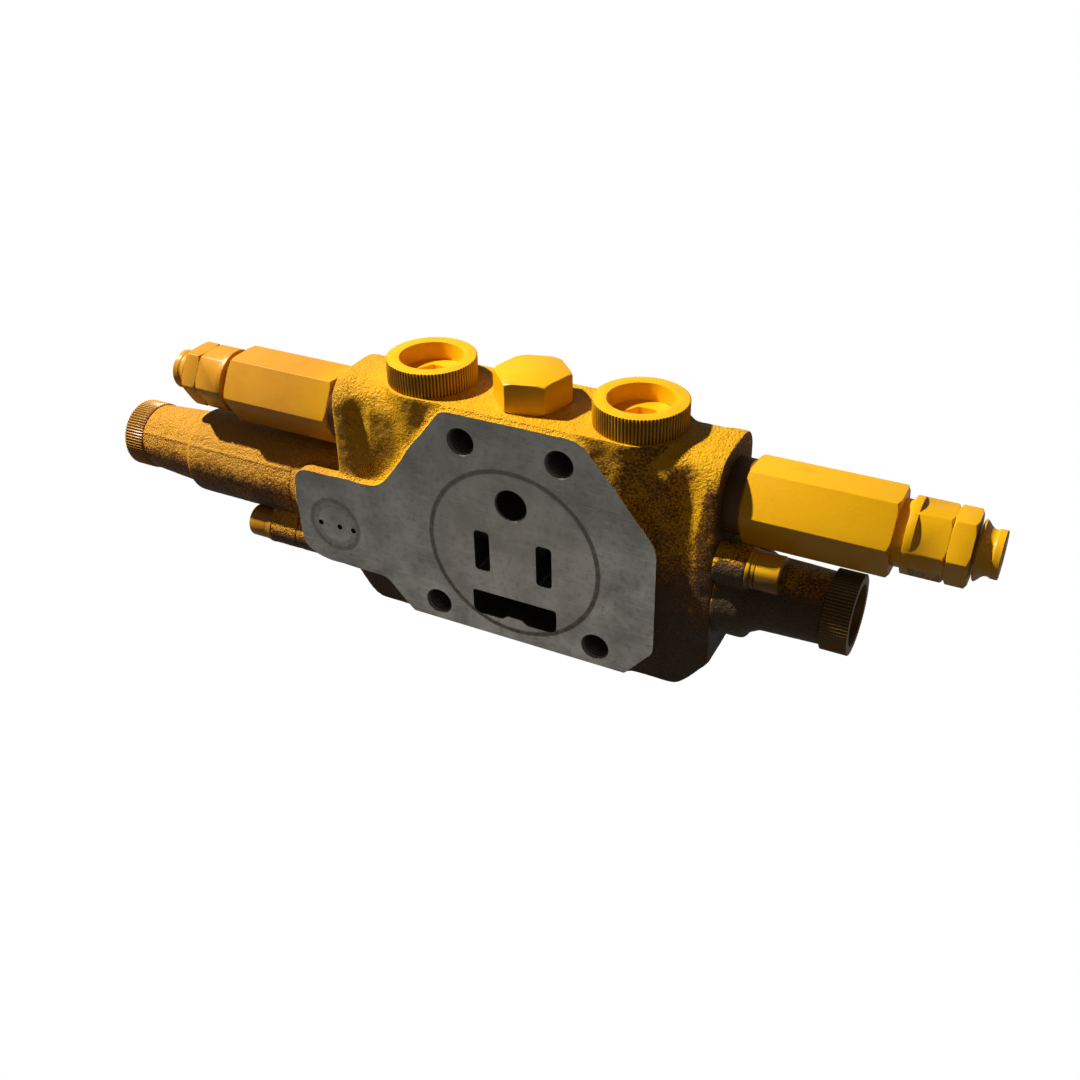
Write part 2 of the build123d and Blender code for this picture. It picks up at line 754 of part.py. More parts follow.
head_top = check_seat_z + check_head_height
stem_top = head_top + check_stem_length
pocket_floor = stem_top - check_pocket_depth
with BuildPart() as check_poppet:
    nose = check_seat_z + seat_gap - check_nose
    rim = check_seat_z + seat_gap + check_head_radius - check_bore
    outline = [(nose, 0), (head_top, 0), (head_top, check_head_radius), (rim, check_head_radius),
               (nose, check_bore - check_nose)]
    add(turned(check_axis, outline))
    add(rod(check_axis, head_top, stem_top, check_stem_radius))
    add(rod(check_axis, pocket_floor, stem_top, check_pocket_radius), mode=Mode.SUBTRACT)
save("check_poppet", check_poppet.part)
save("check_spring", coil(check_axis, pocket_floor, guide_top, check_coil_radius, check_wire, check_turns))

# One relief valve on each side; its places are measured from the body's end face
hex_start = half_length + relief_neck_length
hex_end = hex_start + relief_hex_length
adjuster_collar = hex_end + adjuster_groove_length
flat_start = adjuster_collar + adjuster_collar_length
adjuster_end = flat_start + adjuster_flat_length
nut_end = adjuster_end + lock_nut_height
disc_start = half_length + pilot_disc_start
disc_end = disc_start + pilot_disc_length
seat_start = adjuster_end - adjuster_reach
sleeve_from = half_length - sleeve_start
sleeve_face = sleeve_from + sleeve_seat_length
sleeve_radius = housing_bore - running_gap

for side, seat in relief_seats.items():
    turn = relief_turns[side]

    with BuildPart() as housing:
        add(hexagon(seat, hex_start, hex_end, relief_hex_af, turn))
        add(rod(seat, half_length, hex_start, relief_neck_radius))
        add(rod(seat, half_length - relief_thread_length, half_length, relief_thread_radius - fit_gap))
        add(rod(seat, half_length - relief_thread_length, hex_end, housing_bore), mode=Mode.SUBTRACT)
        add(rod(seat, hex_end - housing_mouth_length, hex_end, housing_mouth_radius), mode=Mode.SUBTRACT)
    save(side + "_relief_housing", housing.part)

    # The sleeve: a seat at its inner end, a ring of ports and a groove for a seal
    with BuildPart() as sleeve:
        add(tube(seat, sleeve_from, disc_start, sleeve_radius, sleeve_bore))
        add(tube(seat, sleeve_from, sleeve_face, sleeve_radius, sleeve_seat_radius))
        for i in range(sleeve_ports):
            angle = 2 * math.pi * i / sleeve_ports
            aim = (0, math.cos(angle), math.sin(angle))
            place = seat.offset(sleeve_face + sleeve_port_offset).origin
            port_plane = Plane(origin=place, x_dir=(1, 0, 0), z_dir=aim)
            add(rod(port_plane, 0, 2 * sleeve_radius, sleeve_port_radius), mode=Mode.SUBTRACT)
        groove_start = sleeve_from + sleeve_seal_offset - small_seal_section
        groove_floor = relief_nose_bore - 2 * small_seal_section
        groove = tube(seat, groove_start, groove_start + 2 * small_seal_section, relief_nose_bore, groove_floor)
        add(groove, mode=Mode.SUBTRACT)
    save(side + "_relief_sleeve", sleeve.part)

    # The main poppet: a cup whose nose rests on the sleeve's seat
    poppet_radius = sleeve_bore - running_gap
    poppet_back = sleeve_face + poppet_length
    poppet_floor = sleeve_face + poppet_nose + poppet_wall
    with BuildPart() as poppet:
        nose_radius = sleeve_seat_radius - seat_gap
        outline = [(sleeve_face + seat_gap - poppet_nose / 2, 0), (poppet_back, 0), (poppet_back, poppet_radius),
                   (sleeve_face + poppet_nose, poppet_radius), (sleeve_face + seat_gap, nose_radius),
                   (sleeve_face + seat_gap - poppet_nose / 2, nose_radius - poppet_nose / 2)]
        add(turned(seat, outline))
        add(rod(seat, poppet_floor, poppet_back, poppet_radius - poppet_wall), mode=Mode.SUBTRACT)
    save(side + "_relief_poppet", poppet.part)
    main_spring_end = disc_start - poppet_travel - seat_gap
    main_spring = coil(seat, poppet_floor, main_spring_end, main_coil_radius, relief_wire, relief_turns_main)
    save(side + "_relief_spring", main_spring)

    # The pilot stage: a disc with the pilot seat, a small poppet and its spring
    with BuildPart() as pilot_seat:
        add(tube(seat, disc_start, disc_end, sleeve_radius, pilot_hole))
    save(side + "_pilot_seat", pilot_seat.part)
    slope = pilot_cone_radius / pilot_cone_length
    cone_tip = disc_end + seat_gap - pilot_hole / slope
    cone_end = cone_tip + pilot_cone_length
    flange_end = cone_end + pilot_flange_thickness
    with BuildPart() as pilot_poppet:
        add(turned(seat, [(cone_tip, 0), (cone_end, 0), (cone_end, pilot_cone_radius)]))
        add(rod(seat, cone_end, flange_end, pilot_flange_radius))
        add(rod(seat, flange_end, flange_end + pilot_stem_length, pilot_cone_radius))
    save(side + "_pilot_poppet", pilot_poppet.part)
    pilot_spring_end = seat_start - pilot_travel - seat_gap
    pilot_spring = coil(seat, flange_end, pilot_spring_end, pilot_coil_radius, relief_wire, relief_turns_pilot)
    save(side + "_pilot_spring", pilot_spring)
    with BuildPart() as spring_seat:
        add(rod(seat, seat_start, seat_start + spring_seat_thickness, sleeve_radius))
        stem_start = seat_start - spring_seat_stem
        add(rod(seat, stem_start, seat_start, pilot_cone_radius))
    save(side + "_spring_seat", spring_seat.part)

    # The adjuster: a threaded body, the adjusting screw through it and the lock nut
    with BuildPart() as adjuster:
        add(rod(seat, hex_end, adjuster_collar, adjuster_groove_radius))
        add(rod(seat, hex_end - adjuster_shank_length, hex_end, housing_mouth_radius - fit_gap))
        add(rod(seat, adjuster_collar, flat_start, adjuster_collar_radius))
        flats = hexagon(seat, flat_start - hex_chamfer, adjuster_end, adjuster_af, turn)
        add(flats.intersect(rod(seat, flat_start, adjuster_end, adjuster_collar_radius)))
        add(rod(seat, hex_end - adjuster_shank_length, adjuster_end, screw_thread_bore), mode=Mode.SUBTRACT)
    save(side + "_adjuster_body", adjuster.part)
    with BuildPart() as lock_nut:
        add(hexagon(seat, adjuster_end, nut_end, lock_nut_af, turn))
        add(rod(seat, adjuster_end, nut_end, screw_thread_bore), mode=Mode.SUBTRACT)
    save(side + "_lock_nut", lock_nut.part)
    with BuildPart() as adjusting_screw:
        skirt_start = nut_end + skirt_gap
        disc_from = skirt_start + skirt_length
        add(rod(seat, seat_start + spring_seat_thickness, skirt_start, screw_thread_bore - running_gap))
        add(cone(seat, skirt_start, skirt_radius, disc_from, waist_radius))
        add(rod(seat, disc_from, disc_from + screw_disc_thickness, screw_disc_radius))
    save(side + "_adjusting_screw", adjusting_screw.part)

    # Ring seals under the housing's neck and in the sleeve's groove
    with BuildPart() as relief_seals:
        add(corner_seal(seat, half_length, relief_thread_radius, relief_seal_leg))
        groove_middle = sleeve_from + sleeve_seal_offset
        add(ring(seat, groove_middle, groove_floor + small_seal_section, small_seal_section))
    save(side + "_relief_seals", relief_seals.part)
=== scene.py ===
import bpy
import json
import math
from mathutils import Matrix, Vector


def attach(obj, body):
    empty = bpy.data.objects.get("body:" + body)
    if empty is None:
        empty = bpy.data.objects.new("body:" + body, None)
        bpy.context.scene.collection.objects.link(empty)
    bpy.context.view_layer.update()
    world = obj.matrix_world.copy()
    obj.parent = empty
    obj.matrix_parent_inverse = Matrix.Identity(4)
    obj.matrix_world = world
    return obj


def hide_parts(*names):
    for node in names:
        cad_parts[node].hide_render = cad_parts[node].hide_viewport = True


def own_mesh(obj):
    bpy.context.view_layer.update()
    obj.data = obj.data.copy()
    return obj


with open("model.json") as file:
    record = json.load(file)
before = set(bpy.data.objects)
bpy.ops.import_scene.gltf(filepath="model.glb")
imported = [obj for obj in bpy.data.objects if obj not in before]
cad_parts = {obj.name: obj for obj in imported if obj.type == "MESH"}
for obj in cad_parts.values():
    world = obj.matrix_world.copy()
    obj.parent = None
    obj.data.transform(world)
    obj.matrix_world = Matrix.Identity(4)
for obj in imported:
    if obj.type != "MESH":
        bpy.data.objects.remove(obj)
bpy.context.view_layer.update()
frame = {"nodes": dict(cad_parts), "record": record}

MM = 0.001

# The view. A camera stands in front, to the right of and above the valve, as in the photograph.
# The valve stands on plain ground that the camera sees as white, as in the photograph, in hard sunlight
# from the left, with a weak warm light from the front and little light from all round.
HEADING, PITCH, ROLL = math.radians(28.251), math.radians(32.583), math.radians(-1.623)
CAMERA_DISTANCE, CAMERA_RIGHT, CAMERA_UP = 532.484, 6.896, 12.019
FOCAL_PIXELS, FRAME_PIXELS = 1210.621, 1080
CENTRE_X, CENTRE_Y = 527.986, 528.248
SENSOR_WIDTH = 36.0
CLIP_END = 100.0

back = Vector((math.sin(HEADING) * math.cos(PITCH), -math.cos(HEADING) * math.cos(PITCH), math.sin(PITCH)))
level_right = Vector((math.cos(HEADING), math.sin(HEADING), 0))
level_up = back.cross(level_right)
right = level_right * math.cos(ROLL) + level_up * math.sin(ROLL)
up = level_up * math.cos(ROLL) - level_right * math.sin(ROLL)
place = right * CAMERA_RIGHT + up * CAMERA_UP + back * CAMERA_DISTANCE

camera_data = bpy.data.cameras.new("camera")
camera_data.lens = FOCAL_PIXELS / FRAME_PIXELS * SENSOR_WIDTH
camera_data.sensor_width = SENSOR_WIDTH
camera_data.shift_x = (FRAME_PIXELS / 2 - CENTRE_X) / FRAME_PIXELS
camera_data.shift_y = (CENTRE_Y - FRAME_PIXELS / 2) / FRAME_PIXELS
camera_data.clip_end = CLIP_END
camera = bpy.data.objects.new("camera", camera_data)
bpy.context.collection.objects.link(camera)
turn = Matrix((right, up, back)).transposed().to_4x4()
camera.matrix_world = Matrix.Translation(place * MM) @ turn
bpy.context.scene.camera = camera
bpy.context.scene.view_settings.view_transform = "Standard"

# The world and the ground. The camera sees both as white, bright surfaces mirror a pale room in them, and
# all else gets only a little light from the sky and from the ground's own dull colour.
FLOOR_LEVEL, FLOOR_RADIUS, FLOOR_SIDES = -47.0, 9000.0, 96
FLOOR_COLOUR, SKY_COLOUR, SHEEN_COLOUR, WHITE = "#39342D", "#FFF1E0", "#F6F6F4", "#FFFFFF"
WORLD_STRENGTH = 0.034
SHEEN_STRENGTH = 0.34
LAMPS = {
    "key_lamp": {"position": (-900, -40, 1200), "target": (0, 20, 0), "size": 40, "watts": 40.0,
                 "colour": "#FFF3E0"},
    "front_fill_lamp": {"position": (300, -1500, 500), "target": (0, 0, 0), "size": 900, "watts": 1.0,
                        "colour": "#FFE2C0"},
}


def linear(hex_colour):
    """An sRGB hex colour as linear red, green, blue and alpha."""
    parts = [int(hex_colour[i:i + 2], 16) / 255 for i in (1, 3, 5)]
    return [p / 12.92 if p <= 0.04045 else ((p + 0.055) / 1.055) ** 2.4 for p in parts] + [1.0]


def put(tree, kind, inputs, **settings):
    """Adds one node with its settings. Inputs maps a socket's name or number to a value or an output."""
    made = tree.nodes.new(kind)
    for name, value in settings.items():
        setattr(made, name, value)
    for name, value in inputs.items():
        if isinstance(value, bpy.types.NodeSocket):
            tree.links.new(value, made.inputs[name])
        else:
            made.inputs[name].default_value = value
    return made


def new_material(name):
    """An empty material with its node tree and output."""
    material = bpy.data.materials.new(name)
    material.use_nodes = True
    material.node_tree.nodes.clear()
    return material, material.node_tree, material.node_tree.nodes.new("ShaderNodeOutputMaterial")


world = bpy.data.worlds.new("studio")
bpy.context.scene.world = world
world.use_nodes = True
sky = world.node_tree
sky.nodes.clear()
rays = put(sky, "ShaderNodeLightPath", {})
seen = put(sky, "ShaderNodeMath", {0: rays.outputs["Is Camera Ray"], 1: rays.outputs["Is Transmission Ray"]},
           operation="MAXIMUM")
ambient = put(sky, "ShaderNodeBackground", {"Color": linear(SKY_COLOUR), "Strength": WORLD_STRENGTH})
bright = put(sky, "ShaderNodeBackground", {"Color": linear(SHEEN_COLOUR), "Strength": SHEEN_STRENGTH})
lit = put(sky, "ShaderNodeMixShader", {0: rays.outputs["Is Glossy Ray"], 1: ambient.outputs[0],
                                       2: bright.outputs[0]})
backdrop = put(sky, "ShaderNodeBackground", {"Color": linear(WHITE), "Strength": 1.0})
mixed = put(sky, "ShaderNodeMixShader", {0: seen.outputs[0], 1: lit.outputs[0], 2: backdrop.outputs[0]})
put(sky, "ShaderNodeOutputWorld", {"Surface": mixed.outputs[0]})

bpy.ops.object.select_all(action="DESELECT")
bpy.ops.mesh.primitive_circle_add(vertices=FLOOR_SIDES, radius=FLOOR_RADIUS * MM, fill_type="NGON",
                                  location=(0, 0, FLOOR_LEVEL * MM))
floor = bpy.context.object
floor.name = "floor"
paper, tree, output = new_material("plain_ground_seen_as_white")
rays = put(tree, "ShaderNodeLightPath", {})
matt = put(tree, "ShaderNodeBsdfDiffuse", {"Color": linear(FLOOR_COLOUR)})
pale = put(tree, "ShaderNodeEmission", {"Color": linear(SHEEN_COLOUR), "Strength": SHEEN_STRENGTH})
seen = put(tree, "ShaderNodeMixShader", {0: rays.outputs["Is Glossy Ray"], 1: matt.outputs[0],
                                         2: pale.outputs[0]})
white = put(tree, "ShaderNodeEmission", {"Color": linear(WHITE), "Strength": 1.0})
paper_mix = put(tree, "ShaderNodeMixShader", {0: rays.outputs["Is Camera Ray"], 1: seen.outputs[0],
                                              2: white.outputs[0]})
tree.links.new(paper_mix.outputs[0], output.inputs["Surface"])
floor.data.materials.append(paper)


def add_lamp(name, position, target, size, watts, colour):
    """A soft square lamp at position, in millimetres, aimed at target."""
    light = bpy.data.lights.new(name, "AREA")
    light.size = size * MM
    light.energy = watts
    light.color = linear(colour)[:3]
    holder = bpy.data.objects.new(name, light)
    bpy.context.collection.objects.link(holder)
    aim = Vector(target) - Vector(position)
    turned = aim.to_track_quat("-Z", "Y").to_matrix().to_4x4()
    holder.matrix_world = Matrix.Translation(Vector(position) * MM) @ turned


for name, lamp in LAMPS.items():
    add_lamp(name, **lamp)

# The casting. Sand-cast grey iron, fettled by hand, then machined on its front pad, top land, end faces
# and left joint face, and drilled. The parts of the pattern are joined, the valleys are cut, all edges
# are run together as in a mould, the machined planes are cut flat and every bore and cored passage is
# taken out. All lengths are in millimetres, and an outline of the front is in (x, z). Each valley's depth
# is given by its side.
CAST_FRONT, CAST_REAR, SECTION_DEPTH = 3.0, 43.0, 46.0
MIDDLE_Y = SECTION_DEPTH / 2
LAND_Z, FOOT_Z = 66.0, -47.0
END_X, BARREL_X = 91.0, 122.0
PORT_X, SPOOL_Z, RELIEF_Z = 49.5, -1.0, 42.3
BARREL_RADIUS, PORT_BOSS_RADIUS, SCREW_BOSS_RADIUS = 21.5, 21.7, 8.5
LEFT_SCREWS = ((9.0, -26.5), (40.5, 23.0))
RIGHT_SCREWS = ((8.7, 18.9), (37.3, -20.9))
MACHINING_STOCK, PAD_STOCK = 2.0, 6.0
CORE_FROM, CORE_TO, BELOW_FOOT = -91.5, 93.0, -60.0
LAND_DEPTH = 14.0
FLANGE_INNER, FLANGE_OUTER = 83.0, 92.0
FLANGE_FRONT, FLANGE_REAR, FLANGE_FOOT = 2.0, 44.0, -29.0
BOSS_FROM, WEB_SHARES = 98.0, (0.0, 0.35, 0.7)
VALLEY_RADIUS, VALLEY_CLEAR = 12.0, 0.5
VALLEY_FROM, VALLEY_TO = 18.0, 78.0
VALLEY_DEPTHS = {-1: 3.0, 1: 4.5}
CAST_VOXEL, CAST_SMOOTHING = 1.05, 22
CAST_SAND = ((7.0, 0.30), (2.2, 0.22))
CAST_OUTLINE = ((-78.0, -49.0), (78.0, -49.0), (93.0, -30.0), (93.0, 68.0), (-91.5, 68.0), (-91.5, -30.0))
CAST_ROUNDING = (14.0, 14.0, 12.0, 0.0, 0.0, 12.0)
PAD_OUTLINE = ((-52.5, -49.0), (52.5, -49.0), (67.3, -31.5), (67.3, 22.0), (32.5, 64.0), (-32.5, 64.0),
               (-68.1, 17.0), (-116.5, 17.0), (-116.5, -31.5), (-68.8, -31.5))
PAD_ROUNDING = (9.0, 8.0, 5.0, 10.0, 12.0, 6.0, 16.0, 8.0, 16.0, 5.0)
PAD_THICKNESS = 7.0
SHOULDER = 13.0
WELD = 0.002


def only(thing):
    """Leaves this one object selected and active."""
    bpy.ops.object.select_all(action="DESELECT")
    thing.select_set(True)
    bpy.context.view_layer.objects.active = thing


def settle(thing):
    """Moves an object's place into its mesh."""
    only(thing)
    bpy.ops.object.transform_apply(location=True, rotation=True, scale=True)
    return thing


def block(low, high):
    """A block between two corners, in millimetres."""
    bpy.ops.object.select_all(action="DESELECT")
    middle = [(a + b) / 2 * MM for a, b in zip(low, high)]
    bpy.ops.mesh.primitive_cube_add(size=1, location=middle)
    made = bpy.context.object
    made.scale = [(b - a) * MM for a, b in zip(low, high)]
    return settle(made)


def rounded(corners, radii, steps=8):
    """A closed outline with its corners rounded."""
    points = []
    for i, corner in enumerate(corners):
        here = Vector(corner)
        before = (Vector(corners[i - 1]) - here).normalized()
        after = (Vector(corners[(i + 1) % len(corners)]) - here).normalized()
        half = before.angle(after) / 2
        centre = here + (before + after).normalized() * radii[i] / math.sin(half)
        start = here + before * radii[i] / math.tan(half) - centre
        end = here + after * radii[i] / math.tan(half) - centre
        for k in range(steps + 1 if radii[i] else 1):
            points.append(centre + (start.lerp(end, k / steps)).normalized() * radii[i])
    return points


def close_up(thing):
    """Ends a piece of edit-mode work: doubles merged, faces turned outwards, place kept in the mesh."""
    bpy.ops.mesh.select_all(action="SELECT")
    bpy.ops.mesh.remove_doubles(threshold=WELD * MM)
    bpy.ops.mesh.normals_make_consistent(inside=False)
    bpy.ops.object.mode_set(mode="OBJECT")
    return settle(thing)


def prism(outline, along, start, end):
    """An outline drawn out along X or Y. The outline's points are (y, z) or (x, z)."""
    bpy.ops.object.select_all(action="DESELECT")
    bpy.ops.mesh.primitive_circle_add(vertices=len(outline), radius=1, fill_type="NGON")
    made = bpy.context.object
    for vertex, (u, v) in zip(made.data.vertices, outline):
        vertex.co = Vector((start, u, v) if along == "X" else (u, start, v)) * MM
    run = Vector((end - start, 0, 0) if along == "X" else (0, end - start, 0)) * MM
    bpy.ops.object.mode_set(mode="EDIT")
    bpy.ops.mesh.select_all(action="SELECT")
    bpy.ops.mesh.extrude_region_move(TRANSFORM_OT_translate={"value": run})
    return close_up(made)


def join(pieces, name):
    """Joins pieces into the first one and names it."""
    bpy.ops.object.select_all(action="DESELECT")
    for piece in pieces:
        piece.select_set(True)
    bpy.context.view_layer.objects.active = pieces[0]
    bpy.ops.object.join()
    pieces[0].name = name
    return pieces[0]


def modify(thing, kind, **settings):
    """Adds a modifier with its settings and applies it."""
    only(thing)
    modifier = thing.modifiers.new(kind.lower(), kind)
    for name, value in settings.items():
        setattr(modifier, name, value)
    bpy.ops.object.modifier_apply(modifier=modifier.name)


def lathe(place, direction, outline, sides=72):
    """A turned solid, drawn out step by step from a circle. The outline lists (distance along the axis,
    radius), and runs from axis to axis or closes on itself as a ring."""
    axis = Vector(direction).normalized()
    steps = [(along, radius) for along, radius in outline if radius > 0]
    is_ring = outline[0][1] > 0
    bpy.ops.object.select_all(action="DESELECT")
    bpy.ops.mesh.primitive_circle_add(
        vertices=sides, radius=steps[0][1] * MM, fill_type="NOTHING" if is_ring else "NGON",
        location=(Vector(place) + axis * steps[0][0]) * MM, rotation=axis.to_track_quat("Z", "Y").to_euler())
    made = settle(bpy.context.object)
    bpy.ops.object.mode_set(mode="EDIT")
    bpy.ops.mesh.select_all(action="SELECT")
    for (before, old), (along, radius) in zip(steps, steps[1:] + (steps[:1] if is_ring else [])):
        shift = axis * (along - before) * MM
        bpy.ops.mesh.extrude_region_move(TRANSFORM_OT_translate={"value": shift})
        centre = (Vector(place) + axis * along) * MM
        bpy.ops.transform.resize(value=(radius / old,) * 3, center_override=centre)
    return close_up(made)


def bar(start, end, radius, sides=72):
    """A round bar between two points."""
    run = Vector(end) - Vector(start)
    return lathe(start, run, ((0, 0), (0, radius), (run.length, radius), (run.length, 0)), sides)


def cut(thing, cutters):
    """Takes the cutters out of a closed solid in one go."""
    tools = bpy.data.collections.new("tools")
    for cutter in cutters:
        tools.objects.link(cutter)
    modify(thing, "BOOLEAN", operation="DIFFERENCE", solver="MANIFOLD", material_mode="TRANSFER",
           operand_type="COLLECTION", collection=tools)
    for cutter in cutters:
        bpy.data.objects.remove(cutter)
    bpy.data.collections.remove(tools)


def roughen(thing, wavelength, height, number):
    """Raises and lowers a surface along its normals, as sand in a mould does."""
    grain = bpy.data.textures.new("sand " + str(number), "CLOUDS")
    grain.noise_scale = wavelength * MM
    grain.noise_depth = 2
    modify(thing, "DISPLACE", texture=grain, strength=height * MM, mid_level=0.5, texture_coords="LOCAL")


# The block, whose shoulders are rounded seen from the end.
shoulders = ((CAST_FRONT, BELOW_FOOT), (CAST_REAR, BELOW_FOOT), (CAST_REAR, LAND_Z), (CAST_FRONT, LAND_Z))
core = prism(rounded(CAST_OUTLINE, CAST_ROUNDING), "Y", CAST_FRONT, CAST_REAR)
limits = prism(rounded(shoulders, (0, 0, SHOULDER, SHOULDER)), "X", CORE_FROM, CORE_TO)
modify(core, "BOOLEAN", operation="INTERSECT", solver="MANIFOLD", object=limits)
bpy.data.objects.remove(limits)

# The top land with its two port bosses, the two end flanges, and the pad with its wing.
top = LAND_Z + MACHINING_STOCK
parts = [core, block((-PORT_X, FLANGE_FRONT, LAND_Z - LAND_DEPTH), (PORT_X, FLANGE_REAR, top))]
boss_outline = ((0, 0), (0, PORT_BOSS_RADIUS), (top, PORT_BOSS_RADIUS), (top, 0))
for x in (-PORT_X, PORT_X):
    parts.append(lathe((x, MIDDLE_Y, 0), (0, 0, 1), boss_outline))
flange = ((FLANGE_FRONT, FLANGE_FOOT), (FLANGE_REAR, FLANGE_FOOT), (FLANGE_REAR, LAND_Z),
          (FLANGE_FRONT, LAND_Z))
for low, high in ((-FLANGE_OUTER, -FLANGE_INNER), (FLANGE_INNER, END_X + MACHINING_STOCK)):
    parts.append(prism(rounded(flange, (SHOULDER,) * 4), "X", low, high))
parts.append(prism(rounded(PAD_OUTLINE, PAD_ROUNDING), "Y", -PAD_STOCK, PAD_THICKNESS))

# The barrel for the centring spring, with a boss for each cap screw. More bars on the way from the boss
# to the barrel's middle make the web between them.
barrel_to = BARREL_X + MACHINING_STOCK
parts.append(bar((-FLANGE_INNER, MIDDLE_Y, SPOOL_Z), (-barrel_to, MIDDLE_Y, SPOOL_Z), BARREL_RADIUS))
for y, z in LEFT_SCREWS:
    for share in WEB_SHARES:
        middle = (y + (MIDDLE_Y - y) * share, z + (SPOOL_Z - z) * share)
        parts.append(bar((-BOSS_FROM, *middle), (-barrel_to, *middle), SCREW_BOSS_RADIUS))
casting = join(parts, "cast_valve_body")
modify(casting, "REMESH", mode="VOXEL", voxel_size=CAST_VOXEL * MM)

# The valleys between the port bosses and the end flanges. They fade out downwards.
valleys = []
for side, depth in VALLEY_DEPTHS.items():
    valley_x = side * (PORT_X + PORT_BOSS_RADIUS + FLANGE_INNER) / 2
    for wall, outwards in ((CAST_FRONT, -1), (CAST_REAR, 1)):
        foot_y = wall + outwards * (VALLEY_RADIUS + VALLEY_CLEAR)
        crest_y = wall + outwards * (VALLEY_RADIUS - depth)
        valleys.append(bar((valley_x, foot_y, VALLEY_FROM), (valley_x, crest_y, VALLEY_TO), VALLEY_RADIUS))
cut(casting, valleys)
modify(casting, "REMESH", mode="VOXEL", voxel_size=CAST_VOXEL * MM)
modify(casting, "SMOOTH", factor=0.5, iterations=CAST_SMOOTHING)
for number, (wavelength, height) in enumerate(CAST_SAND, 1):
    roughen(casting, wavelength, height, number)


def millimetres(tree):
    """The object's own coordinates in millimetres, and the same split into X, Y and Z."""
    place = put(tree, "ShaderNodeTexCoord", {})
    scaled = put(tree, "ShaderNodeVectorMath", {0: place.outputs["Object"], "Scale": 1 / MM},
                 operation="SCALE")
    split = put(tree, "ShaderNodeSeparateXYZ", {0: scaled.outputs[0]})
    return scaled.outputs[0], split.outputs


def noise(tree, vector, size, detail=4.0, rough=0.55, stretch=(1, 1, 1)):
    """Cloudy noise from 0 to 1 whose lumps are about size millimetres across."""
    mapping = put(tree, "ShaderNodeMapping", {"Vector": vector, "Scale": [s / size for s in stretch]})
    made = put(tree, "ShaderNodeTexNoise", {"Vector": mapping.outputs[0], "Scale": 1.0, "Detail": detail,
                                            "Roughness": rough})
    return made.outputs["Fac"]


def window(tree, value, low, high, to_low=0.0, to_high=1.0):
    """Turns a value's run from low to high into a smooth run between two numbers."""
    made = put(tree, "ShaderNodeMapRange", {"Value": value, "From Min": low, "From Max": high,
                                            "To Min": to_low, "To Max": to_high},
               interpolation_type="SMOOTHSTEP")
    return made.outputs[0]


def sums(tree, first, second, operation):
    """Two values put together by one sum."""
    return put(tree, "ShaderNodeMath", {0: first, 1: second}, operation=operation).outputs[0]


def without(tree, value, share, amount=1.0):
    """A value less a share of itself."""
    kept = sums(tree, 1.0, sums(tree, share, amount, "MULTIPLY"), "SUBTRACT")
    return sums(tree, value, kept, "MULTIPLY")


def size_of(tree, value):
    """A value without its sign."""
    return put(tree, "ShaderNodeMath", {0: value}, operation="ABSOLUTE").outputs[0]


def distance(tree, across, above):
    """The length of a line whose two parts at right angles are given."""
    squares = [sums(tree, value, 2.0, "POWER") for value in (across, above)]
    return sums(tree, sums(tree, *squares, "ADD"), 0.5, "POWER")


def blend(tree, share, first, second):
    """One colour, or a share of the way to a second one."""
    made = put(tree, "ShaderNodeMix", {0: share, 6: first, 7: second}, data_type="RGBA")
    return made.outputs[2]


def bumps(tree, height, depth):
    """A normal that follows a height, in millimetres of depth."""
    made = put(tree, "ShaderNodeBump", {"Height": height, "Strength": 1.0, "Distance": depth * MM})
    return made.outputs[0]


def facing_mask(tree, direction, low, high):
    """One where the surface faces a direction, zero where it faces away."""
    geometry = put(tree, "ShaderNodeNewGeometry", {})
    local = put(tree, "ShaderNodeVectorTransform", {0: geometry.outputs["Normal"]}, vector_type="NORMAL",
                convert_from="WORLD", convert_to="OBJECT")
    product = put(tree, "ShaderNodeVectorMath", {0: local.outputs[0], 1: Vector(direction).normalized()},
                  operation="DOT_PRODUCT")
    return window(tree, product.outputs["Value"], low, high)


def finish_surface(tree, output, colour, roughness, normal, metallic=0.0, specular=0.5):
    """The surface shader of a material, joined to its output."""
    made = put(tree, "ShaderNodeBsdfPrincipled", {
        "Base Color": colour, "Roughness": roughness, "Normal": normal, "Metallic": metallic,
        "Specular IOR Level": specular})
    tree.links.new(made.outputs[0], output.inputs["Surface"])


# Orange-yellow machinery enamel sprayed over sand-cast iron, from above and from the left. The coat is full
# and grainy there, and under the casting and to the right it thins through a brown film to dark iron. The
# same thin, dark colours are also painted shade on the sides turned away from the key lamp, low down and on
# the front right. The right cap is nearly bare, and the left end is dusted dull.
cast_paint, tree, output = new_material("orange_yellow_enamel_over_sand_cast_iron")
spot, axes = millimetres(tree)
grain = noise(tree, spot, 1.0, 3.0, 0.6)
lumps = noise(tree, spot, 5.0, 3.0)
patches = noise(tree, spot, 16.0, 4.0)
speckle = noise(tree, spot, 0.55, 2.0, 0.7)

full = blend(tree, patches, linear("#F0B404"), linear("#FABF06"))
full = blend(tree, window(tree, patches, 0.55, 0.75, 0.0, 0.35), full, linear("#E3A230"))
dusty = blend(tree, patches, linear("#B97E22"), linear("#D9A044"))
left_end = window(tree, axes[0], -60.0, -118.0)
full = blend(tree, sums(tree, left_end, 0.75, "MULTIPLY"), full, dusty)
iron = blend(tree, lumps, linear("#3E3429"), linear("#64543F"))
iron = blend(tree, window(tree, speckle, 0.56, 0.72, 0.0, 0.6), iron, linear("#9A7432"))
